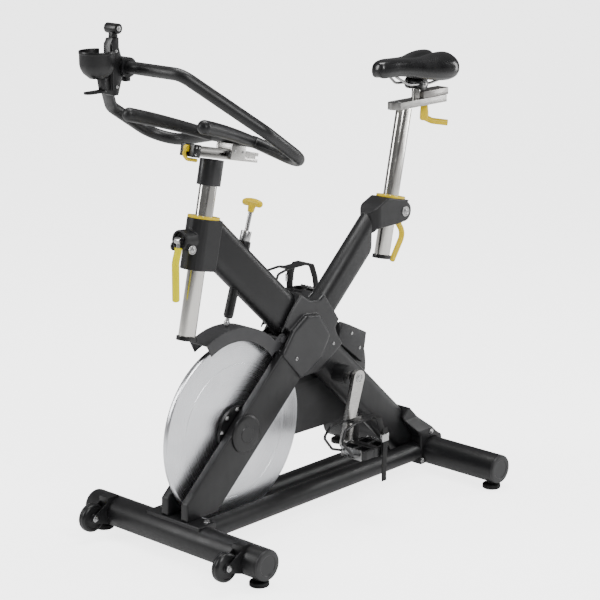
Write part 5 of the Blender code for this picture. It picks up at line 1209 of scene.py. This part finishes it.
def saddle():
    shape = saddle_shell()
    cover_piece = piece("saddle_cover", shape, "saddle_black", "saddle_top", ["saddle"],
                        voxel=0.0015, smooth=16)
    wires, clamps = [], []
    for side in (-1, 1):
        y = side * 0.022
        corners = [Vector((0.782, side * 0.012, 1.0800)), Vector((0.820, y, 1.056))]
        corners += [Vector((0.905, y, 1.0505)), Vector((0.936, side * 0.038, 1.0620))]
        wires.append(tube_along(smooth_route(corners, [0.04, 0.04], 12), 0.0035))
        disc = [(0.0085, 0.0295), (0.0135, 0.0295), (0.0160, 0.0275), (0.0162, 0.0220), (0.0150, 0.0205)]
        disc += [(0.0162, 0.0190), (0.0160, 0.0150), (0.0085, 0.0148), (0.0085, 0.0295)]
        clamps.append(turned(disc, across_matrix(TILT, side), 64))
        clamps.append(box_between((TILT.x - 0.011, min(y - 0.006, y + 0.006), TILT.z - 0.0125),
                                  (TILT.x + 0.011, max(y - 0.006, y + 0.006), TILT.z + 0.0115)))
    clamps.append(cross_rod(TILT, 0.0128, -0.0148, 0.0148, 64))
    piece("saddle_wires", joined(*wires), "bolt", "saddle_top")
    piece("saddle_yoke", joined(*clamps), "plastic_black", "saddle_top", ["saddle_clamp"], bevel=0.0010)
    nuts = [hex_bolt(TILT + ACROSS * side * 0.0290, ACROSS * side, 0.0062, 0.0042) for side in (-1, 1)]
    piece("saddle_yoke_bolt", joined(*nuts), "bolt", "saddle_top", bevel=0.0003, segments=2)


def finish_cad_nodes():
    """Nodes that keep their own shape, such as the axles, take the finish of their slot."""
    finishes = {row["node"]: row["material_slot"] for row in RECORD["subparts"]}
    for name, made in frame["nodes"].items():
        slot = SLOT_OF.get(finishes[name], finishes[name])
        made.data.materials.clear()
        made.data.materials.append(LOOKS[slot])


make_base()
make_frame()
make_drive()
make_brake()
make_handlebar()
make_seat()
finish_cad_nodes()


# ---- room


def make_room():
    shape = bmesh.new()
    bmesh.ops.create_grid(shape, x_segments=1, y_segments=1, size=40.0)
    mesh = bpy.data.meshes.new("floor")
    shape.to_mesh(mesh)
    floor = bpy.data.objects.new("floor", mesh)
    bpy.context.scene.collection.objects.link(floor)
    floor.location = (0, 0, -0.0004)
    n = Nodes("pale_floor")
    soft = n.mix(n.noise(0.6, 3.0), (0.90, 0.90, 0.90), (0.93, 0.93, 0.93))
    n.link(soft, n.shader.inputs["Base Color"])
    n.shader.inputs["Roughness"].default_value = 0.85
    n.shader.inputs["Emission Color"].default_value = (1.0, 1.0, 1.0, 1.0)
    seen = n.new("ShaderNodeLightPath").outputs["Is Camera Ray"]
    n.link(n.spread(seen, 0.28, 3.2, 0.0, 1.0), n.shader.inputs["Emission Strength"])
    mesh.materials.append(n.material)
    world = bpy.data.worlds.new("studio")
    bpy.context.scene.world = world
    world.use_nodes = True
    tree = world.node_tree
    back = tree.nodes["Background"]
    place = tree.nodes.new("ShaderNodeTexCoord")
    split = tree.nodes.new("ShaderNodeSeparateXYZ")
    tree.links.new(place.outputs["Generated"], split.inputs[0])
    ramp = tree.nodes.new("ShaderNodeValToRGB")
    tree.links.new(split.outputs["Z"], ramp.inputs[0])
    ramp.color_ramp.elements[0].position = 0.0
    ramp.color_ramp.elements[0].color = (0.55, 0.55, 0.56, 1)
    ramp.color_ramp.elements[1].position = 0.9
    ramp.color_ramp.elements[1].color = (1.25, 1.25, 1.25, 1)
    tree.links.new(ramp.outputs[0], back.inputs["Color"])
    back.inputs["Strength"].default_value = 0.22


def make_light(name, place, target, size, energy):
    data = bpy.data.lights.new(name, "AREA")
    data.shape = "RECTANGLE"
    data.size, data.size_y = size
    data.energy = energy
    light = bpy.data.objects.new(name, data)
    bpy.context.scene.collection.objects.link(light)
    light.location = place
    light.rotation_euler = (Vector(target) - Vector(place)).to_track_quat("-Z", "Y").to_euler()


def make_camera():
    data = bpy.data.cameras.new("camera")
    data.lens = 118.4
    data.sensor_width = 36.0
    camera = bpy.data.objects.new("camera", data)
    bpy.context.scene.collection.objects.link(camera)
    camera.location = (-3.4667, -3.2459, 1.8404)
    way = Vector((0.0444, 0, 0.5549)) - camera.location
    camera.rotation_euler = way.to_track_quat("-Z", "Y").to_euler()
    bpy.context.scene.camera = camera


make_room()
make_light("key", (-0.9, -3.0, 3.0), (0, 0, 0.5), (1.0, 2.2), 92.0)
make_light("top", (0.3, 0.2, 3.4), (0, 0, 0.4), (2.0, 1.0), 70.0)
make_light("rim", (-3.0, 2.2, 2.4), (0, 0, 0.6), (0.9, 2.4), 80.0)
make_light("side", (3.0, -1.6, 1.5), (0, 0, 0.6), (0.5, 2.4), 45.0)
make_camera()
